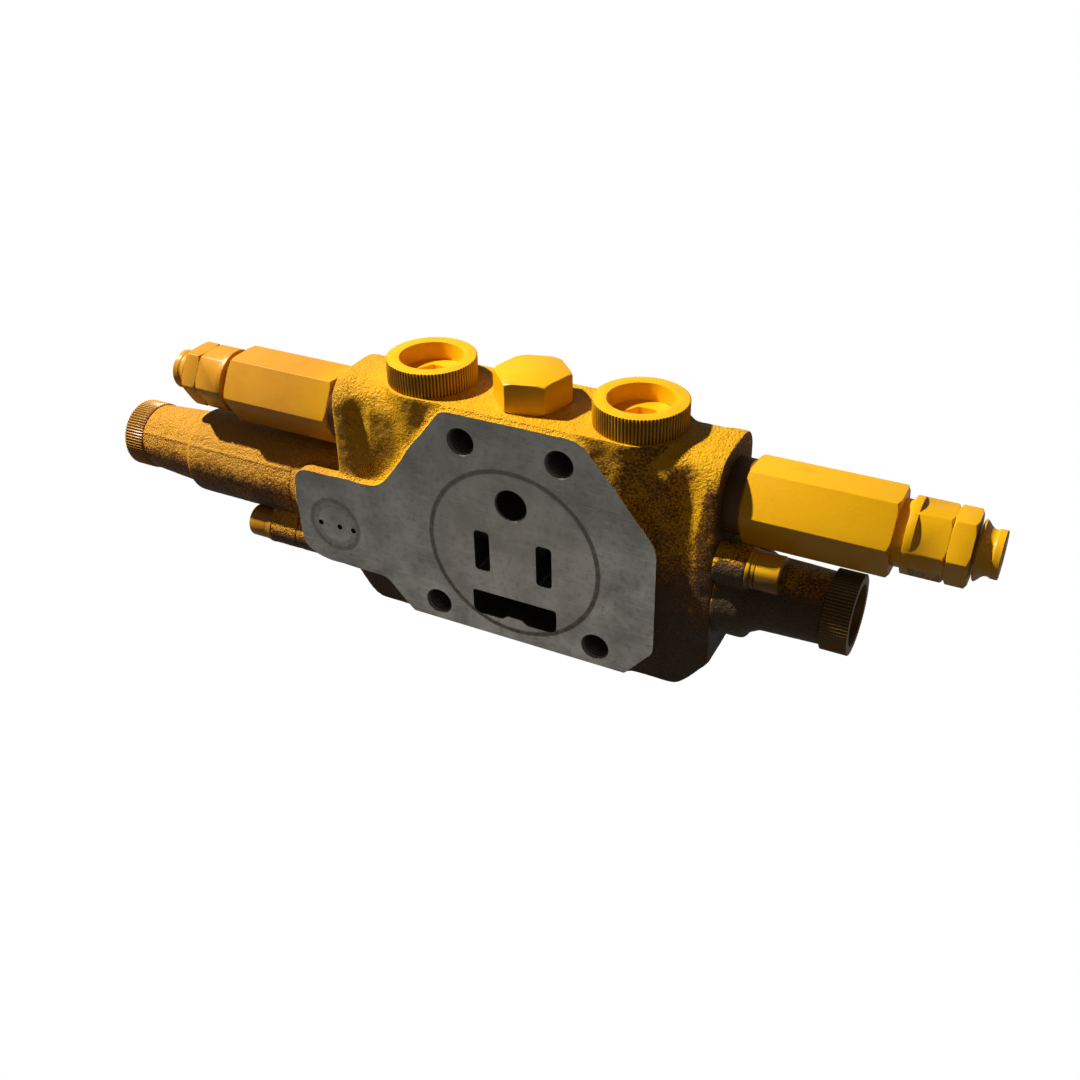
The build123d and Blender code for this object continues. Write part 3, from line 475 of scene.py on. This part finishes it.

# Painted shade as well as thin spray: faces turned from the key lamp, lower parts and the front right get
# the thin film and dark iron colours.
spray_and_key_light = facing_mask(tree, (-0.55, 0.10, 0.85), -0.12, 0.62)
higher_lit_and_coated = window(tree, axes[2], -38.0, 34.0, 0.0, 0.75)
right_thin_and_shaded = window(tree, axes[0], 20.0, 70.0, 0.0, 0.3)
cap_thin = window(tree, axes[0], 89.0, 95.0, 0.0, 0.8)
coverage_and_shade = sums(tree, spray_and_key_light, higher_lit_and_coated, "ADD")
coverage_and_shade = sums(tree, coverage_and_shade, sums(tree, right_thin_and_shaded, cap_thin, "ADD"), "SUBTRACT")
for cloud in (window(tree, patches, 0.25, 0.75, -0.2, 0.2), window(tree, grain, 0.35, 0.65, -0.22, 0.22),
              window(tree, lumps, 0.25, 0.75, -0.1, 0.1)):
    coverage_and_shade = sums(tree, coverage_and_shade, cloud, "ADD")
coverage_and_shade = window(tree, coverage_and_shade, -0.05, 0.95)
thin_film_and_shade = blend(tree, window(tree, coverage_and_shade, 0.0, 0.45), iron, linear("#935A0A"))
colour = blend(tree, window(tree, coverage_and_shade, 0.35, 0.95), thin_film_and_shade, full)
relief = bumps(tree, sums(tree, grain, lumps, "ADD"), 1.5)
finish_surface(tree, output, colour, window(tree, coverage_and_shade, 0.0, 1.0, 0.62, 0.48), relief, specular=0.25)

# Ground cast iron: the machined front face, with fine grinding lines, mottling, stains and the dark rings
# that seals have left, one large ring in the middle and two small ones on the wing, and painted shade
# towards the top left.
# A ring is given by its radius, half its width and its strength.
WING_RING_X, WING_RING_Z = -95.7, -9.7
LARGE_RING = (41.35, 1.55, 1.0)
SMALL_RINGS = ((13.0, 1.8, 0.7), (10.6, 1.6, 0.4))
ground_iron, tree, output = new_material("surface_ground_grey_cast_iron")
spot, axes = millimetres(tree)
cloud = noise(tree, spot, 22.0, 5.0, 0.6)
mottle = noise(tree, spot, 3.2, 4.0, 0.7)
lines = noise(tree, spot, 0.7, 2.0, 0.5, (0.04, 1, 1))
base = blend(tree, window(tree, cloud, 0.3, 0.7), linear("#96928B"), linear("#C9C5BC"))
base = blend(tree, window(tree, mottle, 0.48, 0.72, 0.0, 0.55), base, linear("#7A736A"))
base = blend(tree, window(tree, lines, 0.52, 0.75, 0.0, 0.35), base, linear("#E6E2DA"))
large = distance(tree, axes[0], axes[2])
small = distance(tree, sums(tree, axes[0], WING_RING_X, "SUBTRACT"),
                 sums(tree, axes[2], WING_RING_Z, "SUBTRACT"))


def seal_mark(reach, middle, half, strength):
    """A narrow band at one distance from the mark's centre."""
    away = size_of(tree, sums(tree, reach, middle, "SUBTRACT"))
    return sums(tree, window(tree, away, half, half * 0.45), strength, "MULTIPLY")


mark = seal_mark(large, *LARGE_RING)
for ring in SMALL_RINGS:
    mark = sums(tree, mark, seal_mark(small, *ring), "MAXIMUM")
mark = sums(tree, mark, window(tree, mottle, 0.2, 0.65, 0.65, 1.0), "MULTIPLY")
base = blend(tree, mark, base, linear("#5E5447"))
# Painted shade: the face darkens towards the top left.
shade_slope = sums(tree, axes[2], sums(tree, axes[0], 0.25, "MULTIPLY"), "SUBTRACT")
base = blend(tree, window(tree, shade_slope, -45.0, 65.0, 0.0, 0.55), base, linear("#6F6F6D"))
sparkle = window(tree, noise(tree, spot, 0.5, 2.0, 0.6), 0.63, 0.75, 0.0, 0.5)
base = blend(tree, sparkle, base, linear("#EDECE8"))
base = blend(tree, window(tree, large, 41.0, 38.0, 0.0, 0.22), base, linear("#BDB3A6"))
stain = window(tree, noise(tree, spot, 9.0, 5.0, 0.75), 0.60, 0.74, 0.0, 0.6)
base = blend(tree, stain, base, linear("#8D7650"))
finish_surface(tree, output, base, window(tree, mottle, 0.2, 0.8, 0.34, 0.5),
               bumps(tree, sums(tree, lines, mottle, "ADD"), 0.03), metallic=0.85)

# Bored and drilled iron inside the holes: dark, oily and mottled.
bored_iron, tree, output = new_material("oily_drilled_cast_iron")
spot, axes = millimetres(tree)
mottle = noise(tree, spot, 1.4, 4.0, 0.7)
finish_surface(tree, output, blend(tree, mottle, linear("#2B2825"), linear("#6D6861")),
               window(tree, mottle, 0.2, 0.8, 0.3, 0.55), bumps(tree, mottle, 0.05), metallic=0.6)

# The bores and holes. An outline of a bore lists (distance along its axis, radius). The half width of each
# chamber in the spool's bore is given by its distance from the middle.
OVERRUN, MOUTH_CLEAR = 3.0, 0.01
SPOOL_RADIUS, CHAMBER_RADIUS, PACK_RADIUS, PACK_DEPTH = 11.0, 15.0, 16.5, 9.0
CHAMBERS = {0.0: 4.0, 15.4: 3.85, 32.0: 4.5, 49.5: 5.0, 71.5: 4.5}
CHECK_BORE = (
    (SPOOL_Z, 0), (SPOOL_Z, 3.5), (17, 3.5), (17, 7.5), (36, 7.5), (36, 11), (46, 11), (46, 12), (63.3, 12),
    (LAND_Z + MOUTH_CLEAR, 14.7), (LAND_Z + OVERRUN, 14.7), (LAND_Z + OVERRUN, 0))
PORT_BORE = (
    (SPOOL_Z, 0), (SPOOL_Z, 4.5), (32.8, 4.5), (32.8, 11), (50, 11), (50, 16.5), (62.8, 16.5),
    (LAND_Z + MOUTH_CLEAR, 19.7), (LAND_Z + OVERRUN, 19.7), (LAND_Z + OVERRUN, 0))
RELIEF_BORE = (
    (PORT_X, 0), (PORT_X, 9), (69, 9), (69, 13), (88.3, 13), (END_X + MOUTH_CLEAR, 15.7),
    (END_X + OVERRUN, 15.7), (END_X + OVERRUN, 0))
PRESSURE_Z = 25.3
PRESSURE_BORE = ((-OVERRUN, 0), (-OVERRUN, 8.1), (0, 7.9), (0.6, 7.3), (23, 7.3), (23, 0))
RETURN_X, RETURN_Y, RETURN_Z, RETURN_HEIGHT, RETURN_RADIUS = 71.5, 29.0, -30.0, 72.3, 5.0
BRIDGE_X, BRIDGE_Z, BRIDGE_HEIGHT, BRIDGE_RADIUS = 32.0, 40.5, 41.5, 4.0
PILOT_HOLES_X, PILOT_HOLES_Z, PILOT_HOLE_DEPTH, PILOT_HOLE_RADIUS = (-104.0, -93.2, -85.5), -10.5, 9.0, 1.4
SCREW_HOLE_DEPTH, SCREW_HOLE_RADIUS = 14.0, 4.95
TIE_HOLES = ((-23.4, 51.2), (23.4, 51.2), (-40.1, -37.3), (40.1, -37.3))
TIE_DEPTH, TIE_MOUTH_RADIUS, TIE_FLARE_RADIUS = 20.0, 6.7, 6.9
THREAD_START, THREAD_END, THREAD_PITCH, THREAD_TURNS = 0.7, 16.5, 1.75, 9
THREAD_ROOT, THREAD_CREST = 6.0, 5.55
SLOT_X, SLOT_HALF, SLOT_LOW, SLOT_HIGH, SLOT_CORNER, SLOT_DEPTH = 15.4, 3.85, -12.5, 8.5, 2.0, 14.0
KIDNEY_OUTLINE = ((-21.2, -24.0), (21.2, -24.0), (21.2, -37.0), (6.5, -37.0), (3.8, -34.8), (-3.8, -34.8),
                  (-6.5, -37.0), (-21.2, -37.0))
KIDNEY_ROUNDING = (1.5, 1.5, 4.0, 2.5, 2.5, 2.5, 2.5, 4.0)
KIDNEY_DEPTH = 29.0
FAR, OFFCUT = 260.0, 30.0


def drilled(place, direction, outline, material=bored_iron):
    """A turned cutter that leaves its material on the wall that it cuts."""
    made = lathe(place, direction, outline)
    made.data.materials.append(material)
    return made


def plain_hole(place, direction, depth, radius):
    """A cutter for a plain round hole that starts outside the surface."""
    return drilled(place, direction, ((-OVERRUN, 0), (-OVERRUN, radius), (depth, radius), (depth, 0)))


def window_cut(outline, radii, depth):
    """A cutter for a window of any outline in the front face."""
    made = prism(rounded(outline, radii), "Y", -OVERRUN, depth)
    made.data.materials.append(bored_iron)
    return made


# The machined planes: the front is left bare and the others are painted.
casting.data.materials.clear()
casting.data.materials.append(cast_paint)
MACHINED = (((-FAR, -OFFCUT, -FAR), (FAR, 0, FAR), ground_iron),
            ((-FAR, -FAR, LAND_Z), (FAR, FAR, LAND_Z + OFFCUT), cast_paint),
            ((END_X, -FAR, -FAR), (END_X + OFFCUT, FAR, FAR), cast_paint),
            ((-BARREL_X - OFFCUT, -FAR, -FAR), (-BARREL_X, FAR, FAR), cast_paint),
            ((-FAR, -FAR, FOOT_Z - OFFCUT), (FAR, FAR, FOOT_Z), cast_paint))
cutters = []
for low, high, material in MACHINED:
    cutters.append(block(low, high))
    cutters[-1].data.materials.append(material)
cut(casting, cutters)

# The spool's bore with its chambers, and the bore of the check valve. On each side follow a port, a relief
# valve, a riser of the return gallery and a riser of the bridge, and then the two galleries themselves.
spool_bore = [(-BARREL_X - OVERRUN, 0), (-BARREL_X - OVERRUN, PACK_RADIUS),
              (PACK_DEPTH - BARREL_X, PACK_RADIUS), (PACK_DEPTH - BARREL_X, SPOOL_RADIUS)]
for x in sorted({-x for x in CHAMBERS} | set(CHAMBERS)):
    low, high = x - CHAMBERS[abs(x)], x + CHAMBERS[abs(x)]
    spool_bore += [(low, SPOOL_RADIUS), (low, CHAMBER_RADIUS), (high, CHAMBER_RADIUS), (high, SPOOL_RADIUS)]
spool_bore += [(END_X + OVERRUN, SPOOL_RADIUS), (END_X + OVERRUN, 0)]
bores = [drilled((0, MIDDLE_Y, SPOOL_Z), (1, 0, 0), spool_bore)]
bores.append(drilled((0, MIDDLE_Y, 0), (0, 0, 1), CHECK_BORE))
for side in (-1, 1):
    bores.append(drilled((side * PORT_X, MIDDLE_Y, 0), (0, 0, 1), PORT_BORE))
    bores.append(drilled((0, MIDDLE_Y, RELIEF_Z), (side, 0, 0), RELIEF_BORE))
    bores.append(plain_hole((side * RETURN_X, RETURN_Y, RETURN_Z), (0, 0, 1), RETURN_HEIGHT, RETURN_RADIUS))
    bores.append(plain_hole((side * BRIDGE_X, MIDDLE_Y, SPOOL_Z), (0, 0, 1), BRIDGE_HEIGHT, BRIDGE_RADIUS))
for reach, place, radius in ((RETURN_X, (0, RETURN_Y, RETURN_Z), RETURN_RADIUS),
                             (BRIDGE_X, (0, MIDDLE_Y, BRIDGE_Z), BRIDGE_RADIUS)):
    bores.append(drilled(place, (1, 0, 0), ((-reach, 0), (-reach, radius), (reach, radius), (reach, 0))))
bores.append(drilled((0, 0, PRESSURE_Z), (0, 1, 0), PRESSURE_BORE))

# The small holes: three pilot holes in the wing, the cap screws' holes and the four threaded tie holes.
# A tie hole's thread is drawn as plain ridges, one for each turn.
for x in PILOT_HOLES_X:
    bores.append(plain_hole((x, 0, PILOT_HOLES_Z), (0, 1, 0), PILOT_HOLE_DEPTH, PILOT_HOLE_RADIUS))
for screws, face, inwards in ((LEFT_SCREWS, -BARREL_X, 1), (RIGHT_SCREWS, END_X, -1)):
    for y, z in screws:
        bores.append(plain_hole((face, y, z), (inwards, 0, 0), SCREW_HOLE_DEPTH, SCREW_HOLE_RADIUS))
thread = [(-OVERRUN, 0), (-OVERRUN, TIE_FLARE_RADIUS), (0, TIE_MOUTH_RADIUS)]
for number in range(THREAD_TURNS):
    start = THREAD_START + number * THREAD_PITCH
    thread += [(start, THREAD_ROOT), (start + THREAD_PITCH / 2, THREAD_CREST)]
thread += [(THREAD_END, THREAD_ROOT), (TIE_DEPTH, THREAD_ROOT), (TIE_DEPTH, 0)]
for x, z in TIE_HOLES:
    bores.append(drilled((x, 0, z), (0, 1, 0), thread))

# The two slots and the wide window below them.
for x in (-SLOT_X, SLOT_X):
    low, high = x - SLOT_HALF, x + SLOT_HALF
    slot = ((low, SLOT_LOW), (high, SLOT_LOW), (high, SLOT_HIGH), (low, SLOT_HIGH))
    bores.append(window_cut(slot, (SLOT_CORNER,) * 4, SLOT_DEPTH))
bores.append(window_cut(KIDNEY_OUTLINE, KIDNEY_ROUNDING, KIDNEY_DEPTH))
cut(casting, bores)


def hand_over(piece, body, nodes, angle=35):
    """Smooths a finished piece and says which body it rides and which CAD nodes it stands for."""
    only(piece)
    bpy.ops.object.shade_smooth_by_angle(angle=math.radians(angle))
    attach(piece, body)
    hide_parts(*nodes)


hand_over(casting, "body", ["valve_body"])

# The two caps over the ends of the spool. Both are sand castings like the body, painted all over, and
# turned only where they meet the body, the plugs and the washers. The left one has a parting line along
# its front. They start from the CAD shape, are roughened, and then every machined face is cut again.
# Distances run along the spool's axis from the middle of the body, and the cavity's length from the face.
PASSAGE_RADIUS, PLUG_DEPTH, PLUG_RADIUS = 4.0, 17.0, 12.0
PLUG_CHAMFER_DEPTH, PLUG_CHAMFER_RADIUS = 2.2, 14.2
GROOVE_DEPTH, GROOVE_HALF, CAVITY_LIP = 1.8, 0.95, 1.0
SCREW_CLEARANCE_RADIUS, SPOT_RADIUS, SPOT_HEIGHT = 5.3, 9.1, 13.6
SWEEP, PAST_TIP = 45.0, 5.0
SEAM_ANGLE, SEAM_RADIUS, SEAM_SIDES = math.radians(33), 0.9, 16
SEAM = (((122.6, 21.2), (185.0, 21.2)), ((186.5, 18.5), (219.0, 16.1)))
CAP_VOXEL, CAP_SMOOTHING = 0.62, 3
CAP_SAND = ((5.0, 0.16), (1.8, 0.14))
CAPS = {
    "spring_cap": {"side": -1, "face": BARREL_X, "tip": 219.8, "bosses": 137.5, "screws": LEFT_SCREWS,
                   "cavity_length": 56.0, "cavity_radius": 16.2, "seal": 18.7},
    "pilot_cap": {"side": 1, "face": END_X, "tip": 135.4, "bosses": 104.5, "screws": RIGHT_SCREWS,
                  "cavity_length": 15.0, "cavity_radius": 13.0, "seal": 15.5},
}


def copy_of(node, name):
    """A loose copy of a CAD node with its doubled vertices merged."""
    mesh = frame["nodes"][node].data.copy()
    mesh.transform(frame["nodes"][node].matrix_world)
    mesh.materials.clear()
    made = bpy.data.objects.new(name, mesh)
    bpy.context.collection.objects.link(made)
    only(made)
    bpy.ops.object.mode_set(mode="EDIT")
    return close_up(made)


def parting(x, reach):
    """A point of the left cap's parting line, at a distance along the cap and from its axis."""
    return (-x, MIDDLE_Y - reach * math.cos(SEAM_ANGLE), SPOOL_Z + reach * math.sin(SEAM_ANGLE))


def cap_tools(side, face, tip, bosses, screws, cavity_length, cavity_radius, seal):
    """The cutters for a cap's cavity, passage, plug mouth, joint face, seal groove and screw holes."""
    axis, out, end = (0, MIDDLE_Y, SPOOL_Z), (side, 0, 0), face + cavity_length
    start, plug_floor, past = face - OVERRUN, tip - PLUG_DEPTH, tip + PAST_TIP
    inner, outer, groove_floor = seal - GROOVE_HALF, seal + GROOVE_HALF, face + GROOVE_DEPTH
    yield drilled(axis, out, (
        (start, 0), (start, cavity_radius), (end, cavity_radius), (end, PASSAGE_RADIUS),
        (plug_floor, PASSAGE_RADIUS), (plug_floor, PLUG_RADIUS), (tip - PLUG_CHAMFER_DEPTH, PLUG_RADIUS),
        (tip, PLUG_CHAMFER_RADIUS), (tip, SWEEP), (past, SWEEP), (past, 0)))
    yield drilled(axis, out, (
        (start, cavity_radius - CAVITY_LIP), (start, SWEEP), (face, SWEEP), (face, outer),
        (groove_floor, outer), (groove_floor, inner), (face, inner), (face, cavity_radius - CAVITY_LIP)))
    for y, z in screws:
        yield drilled((0, y, z), out, (
            (start, 0), (start, SCREW_CLEARANCE_RADIUS), (bosses, SCREW_CLEARANCE_RADIUS),
            (bosses, SPOT_RADIUS), (bosses + SPOT_HEIGHT, SPOT_RADIUS), (bosses + SPOT_HEIGHT, 0)),
            cast_paint)


for node, cap in CAPS.items():
    piece = copy_of(node, "cast_" + node)
    if node == "spring_cap":
        ridges = [bar(parting(*start), parting(*stop), SEAM_RADIUS, SEAM_SIDES) for start, stop in SEAM]
        piece = join([piece] + ridges, piece.name)
    modify(piece, "REMESH", mode="VOXEL", voxel_size=CAP_VOXEL * MM)
    modify(piece, "SMOOTH", factor=0.5, iterations=CAP_SMOOTHING)
    for number, (wavelength, height) in enumerate(CAP_SAND, 3):
        roughen(piece, wavelength, height, number)
    piece.data.materials.append(cast_paint)
    cut(piece, list(cap_tools(**cap)))
    hand_over(piece, "body", [node])

# Enamel over turned and milled steel: the plugs, hexagons, nuts and screws. The coat is smooth with a faint
# orange peel, chipped in small dark spots and dusted dull on the far left. Its dark under colour is also
# painted shade underneath, in the relief valves' necks, and painted shadow of the right relief valve on the
# pieces below it.
turned_paint, tree, output = new_material("orange_yellow_enamel_over_turned_steel")
spot, axes = millimetres(tree)
peel = noise(tree, spot, 1.3, 3.0, 0.5)
patches = noise(tree, spot, 14.0, 4.0)
chips = noise(tree, spot, 2.6, 6.0, 0.75)
full = blend(tree, patches, linear("#EBB005"), linear("#F6BF08"))
full = blend(tree, window(tree, patches, 0.52, 0.75, 0.0, 0.5), full, linear("#E39A1A"))
dusty = blend(tree, patches, linear("#AA711C"), linear("#CF9437"))
full = blend(tree, sums(tree, window(tree, axes[0], -75.0, -125.0), 0.8, "MULTIPLY"), full, dusty)
under = blend(tree, patches, linear("#3A2A18"), linear("#6B4A22"))

# Painted shade: faces turned downwards get the dark under colour.
coverage_and_shade = facing_mask(tree, (-0.25, -0.25, 0.9), -0.75, 0.15)
for cloud in (patches, peel):
    coverage_and_shade = sums(tree, coverage_and_shade, window(tree, cloud, 0.3, 0.7, -0.15, 0.15), "ADD")
coverage_and_shade = window(tree, coverage_and_shade, 0.05, 0.5, 0.12, 1.0)
along = size_of(tree, axes[0])
# Painted shade in the relief valves' necks, between the body's flange and the hexagon.
neck_shade = sums(tree, window(tree, along, 99.5, 97.5), window(tree, along, 88.0, 90.0), "MULTIPLY")
# Painted shadow of the right relief valve on the pieces below it.
lower_right_shadow = sums(tree, window(tree, axes[0], 100.0, 106.0), window(tree, axes[2], 23.5, 20.5), "MULTIPLY")
coverage_and_shade = without(tree, coverage_and_shade, neck_shade)
coverage_and_shade = sums(tree, coverage_and_shade, window(tree, chips, 0.72, 0.76, 1.0, 0.15), "MULTIPLY")
coverage_and_shade = without(tree, coverage_and_shade, lower_right_shadow, 0.85)
relief = bumps(tree, sums(tree, peel, sums(tree, coverage_and_shade, 2.0, "MULTIPLY"), "ADD"), 0.06)
finish_surface(tree, output, blend(tree, coverage_and_shade, under, full), window(tree, coverage_and_shade, 0.0, 1.0, 0.5, 0.38),
               relief, specular=0.3)


KNURL_DEPTH, KNURL_SHADE = 0.62, 0.88
KNURL_FADE_FROM, KNURL_FADE_TO = 1.1, 1.4
PORT_RIM_RADIUS, PILOT_RIM_RADIUS = 20.1, 17.2


def knurled(name, axis_number, rim_radius):
    """The same enamel on a knurled rim, with painted shade darkening the bottoms of the teeth."""
    made = turned_paint.copy()
    made.name = name
    tree = made.node_tree
    skin = next(node for node in tree.nodes if node.type == "BSDF_PRINCIPLED")
    painted = skin.inputs["Base Color"].links[0].from_socket
    spot, axes = millimetres(tree)
    if axis_number == 2:
        sideways = sums(tree, size_of(tree, axes[0]), PORT_X, "SUBTRACT")
    else:
        sideways = sums(tree, axes[2], SPOOL_Z, "SUBTRACT")
    reach = distance(tree, sums(tree, axes[1], MIDDLE_Y, "SUBTRACT"), sideways)
    # Painted shade in the bottoms of the teeth, left off the plug's end faces.
    groove_shade = window(tree, reach, rim_radius, rim_radius - KNURL_DEPTH, 0.0, KNURL_SHADE)
    on_rim = window(tree, reach, rim_radius - KNURL_FADE_TO, rim_radius - KNURL_FADE_FROM)
    groove_shade = sums(tree, groove_shade, on_rim, "MULTIPLY")
    for sign in (-1, 1):
        end_on = facing_mask(tree, [sign if i == axis_number else 0 for i in range(3)], 0.3, 0.7)
        groove_shade = without(tree, groove_shade, end_on)
    tree.links.new(blend(tree, groove_shade, painted, linear("#2A1B08")), skin.inputs["Base Color"])
    return made


port_knurl = knurled("orange_yellow_enamel_on_knurled_port_plug", 2, PORT_RIM_RADIUS)
pilot_knurl = knurled("orange_yellow_enamel_on_knurled_pilot_plug", 0, PILOT_RIM_RADIUS)

# Ground and hardened steel, for the spool and poppets: bright, with fine turning lines.
ground_steel, tree, output = new_material("ground_hardened_steel")
spot, axes = millimetres(tree)
lines = noise(tree, spot, 0.5, 3.0, 0.6, (1, 0.15, 0.15))
finish_surface(tree, output, blend(tree, lines, linear("#A3A4A6"), linear("#D2D3D4")),
               window(tree, lines, 0.2, 0.8, 0.16, 0.34), bumps(tree, lines, 0.01), metallic=1.0)

# Oiled, drawn spring wire: dark grey and a little mottled.
spring_wire, tree, output = new_material("oiled_drawn_spring_wire")
spot, axes = millimetres(tree)
scale = noise(tree, spot, 0.8, 4.0, 0.7)
finish_surface(tree, output, blend(tree, scale, linear("#3A3B3E"), linear("#77797D")),
               window(tree, scale, 0.2, 0.8, 0.25, 0.45), bumps(tree, scale, 0.01), metallic=0.9)

# Nitrile rubber, for the seals: black and dull.
rubber, tree, output = new_material("black_nitrile_rubber")
spot, axes = millimetres(tree)
bloom = noise(tree, spot, 1.2, 3.0)
finish_surface(tree, output, blend(tree, bloom, linear("#101010"), linear("#262524")),
               window(tree, bloom, 0.2, 0.8, 0.5, 0.7), bumps(tree, bloom, 0.02))

INSIDE = {"bright_steel": ground_steel, "spring_steel": spring_wire, "seal_rubber": rubber}
for entry in frame["record"]["subparts"]:
    if entry["material_slot"] in INSIDE:
        mesh = frame["nodes"][entry["node"]].data
        mesh.materials.clear()
        mesh.materials.append(INSIDE[entry["material_slot"]])

# The check spring is caught between its poppet and its plug. It rides with the body on a mesh of its own.
piece = copy_of("check_spring", "wound_check_spring")
piece.data.materials.append(spring_wire)
hand_over(piece, "body", ["check_spring"], 60)
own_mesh(piece)

# The turned and milled pieces. Each starts from its CAD shape; its flat facets are merged and all its
# sharp edges are broken by a small bevel, as a file and a coat of paint leave them.
BEARING_EASE = 0.03
FLAT_ANGLE, EDGE_ANGLE, EDGE_SEGMENTS = math.radians(1), math.radians(35), 3
EDGE_WIDTHS = {"port_plug_a": 0.1, "port_plug_b": 0.1, "pilot_plug_left": 0.1, "pilot_plug_right": 0.1,
               "check_plug": 0.6, "cap_screws": 0.5, "flat_washers": 0.2, "spring_washers": 0.2}
for side in ("left", "right"):
    EDGE_WIDTHS.update({side + "_relief_housing": 0.7, side + "_adjuster_body": 0.5,
                        side + "_lock_nut": 0.6})


def ease_bearing_face(nut):
    """Takes a hair off the face on which a nut turns, so that it slides clear of the piece it bears on."""
    side = 1 if nut.data.vertices[0].co.x > 0 else -1
    face = min(side * vertex.co.x for vertex in nut.data.vertices)
    only(nut)
    bpy.ops.object.mode_set(mode="EDIT")
    bpy.ops.mesh.select_all(action="DESELECT")
    bpy.ops.object.mode_set(mode="OBJECT")
    for vertex in nut.data.vertices:
        vertex.select = side * vertex.co.x < face + BEARING_EASE * MM
    bpy.ops.object.mode_set(mode="EDIT")
    bpy.ops.transform.translate(value=(side * BEARING_EASE * MM, 0, 0))
    bpy.ops.object.mode_set(mode="OBJECT")


bodies = {node: body for body, nodes in frame["record"]["behaviour"]["bodies"].items() for node in nodes}
for node, width in EDGE_WIDTHS.items():
    piece = copy_of(node, "painted_" + node)
    bpy.ops.object.mode_set(mode="EDIT")
    bpy.ops.mesh.select_all(action="SELECT")
    bpy.ops.mesh.dissolve_limited(angle_limit=FLAT_ANGLE)
    bpy.ops.object.mode_set(mode="OBJECT")
    modify(piece, "BEVEL", width=width * MM, segments=EDGE_SEGMENTS, limit_method="ANGLE",
           angle_limit=EDGE_ANGLE, use_clamp_overlap=True, harden_normals=False)
    if node.endswith("_lock_nut"):
        ease_bearing_face(piece)
    knurl = port_knurl if node.startswith("port_plug") else pilot_knurl
    piece.data.materials.append(knurl if "_plug_" in node else turned_paint)
    hand_over(piece, bodies[node], [node], 40)

# The adjusting screws. A threaded shank carries a turned end with a hollow waist, all painted.
SCREW_OUTLINE = (
    (146.0, 0), (146.0, 5.9), (186.6, 5.9), (186.6, 11.2), (187.1, 11.9), (187.7, 11.9), (188.6, 11.0),
    (189.5, 9.9), (190.5, 9.2), (191.4, 9.0), (192.2, 9.1), (192.8, 9.5), (195.2, 9.6), (195.6, 9.2),
    (195.6, 4.2), (194.8, 3.6), (194.8, 0))
SCREW_SIDES = 64
for side, direction in (("left", -1), ("right", 1)):
    piece = lathe((0, MIDDLE_Y, RELIEF_Z), (direction, 0, 0), SCREW_OUTLINE, SCREW_SIDES)
    piece.name = "painted_" + side + "_adjusting_screw"
    piece.data.materials.append(turned_paint)
    hand_over(piece, side + "_adjusting_screw", [side + "_adjusting_screw"], 30)
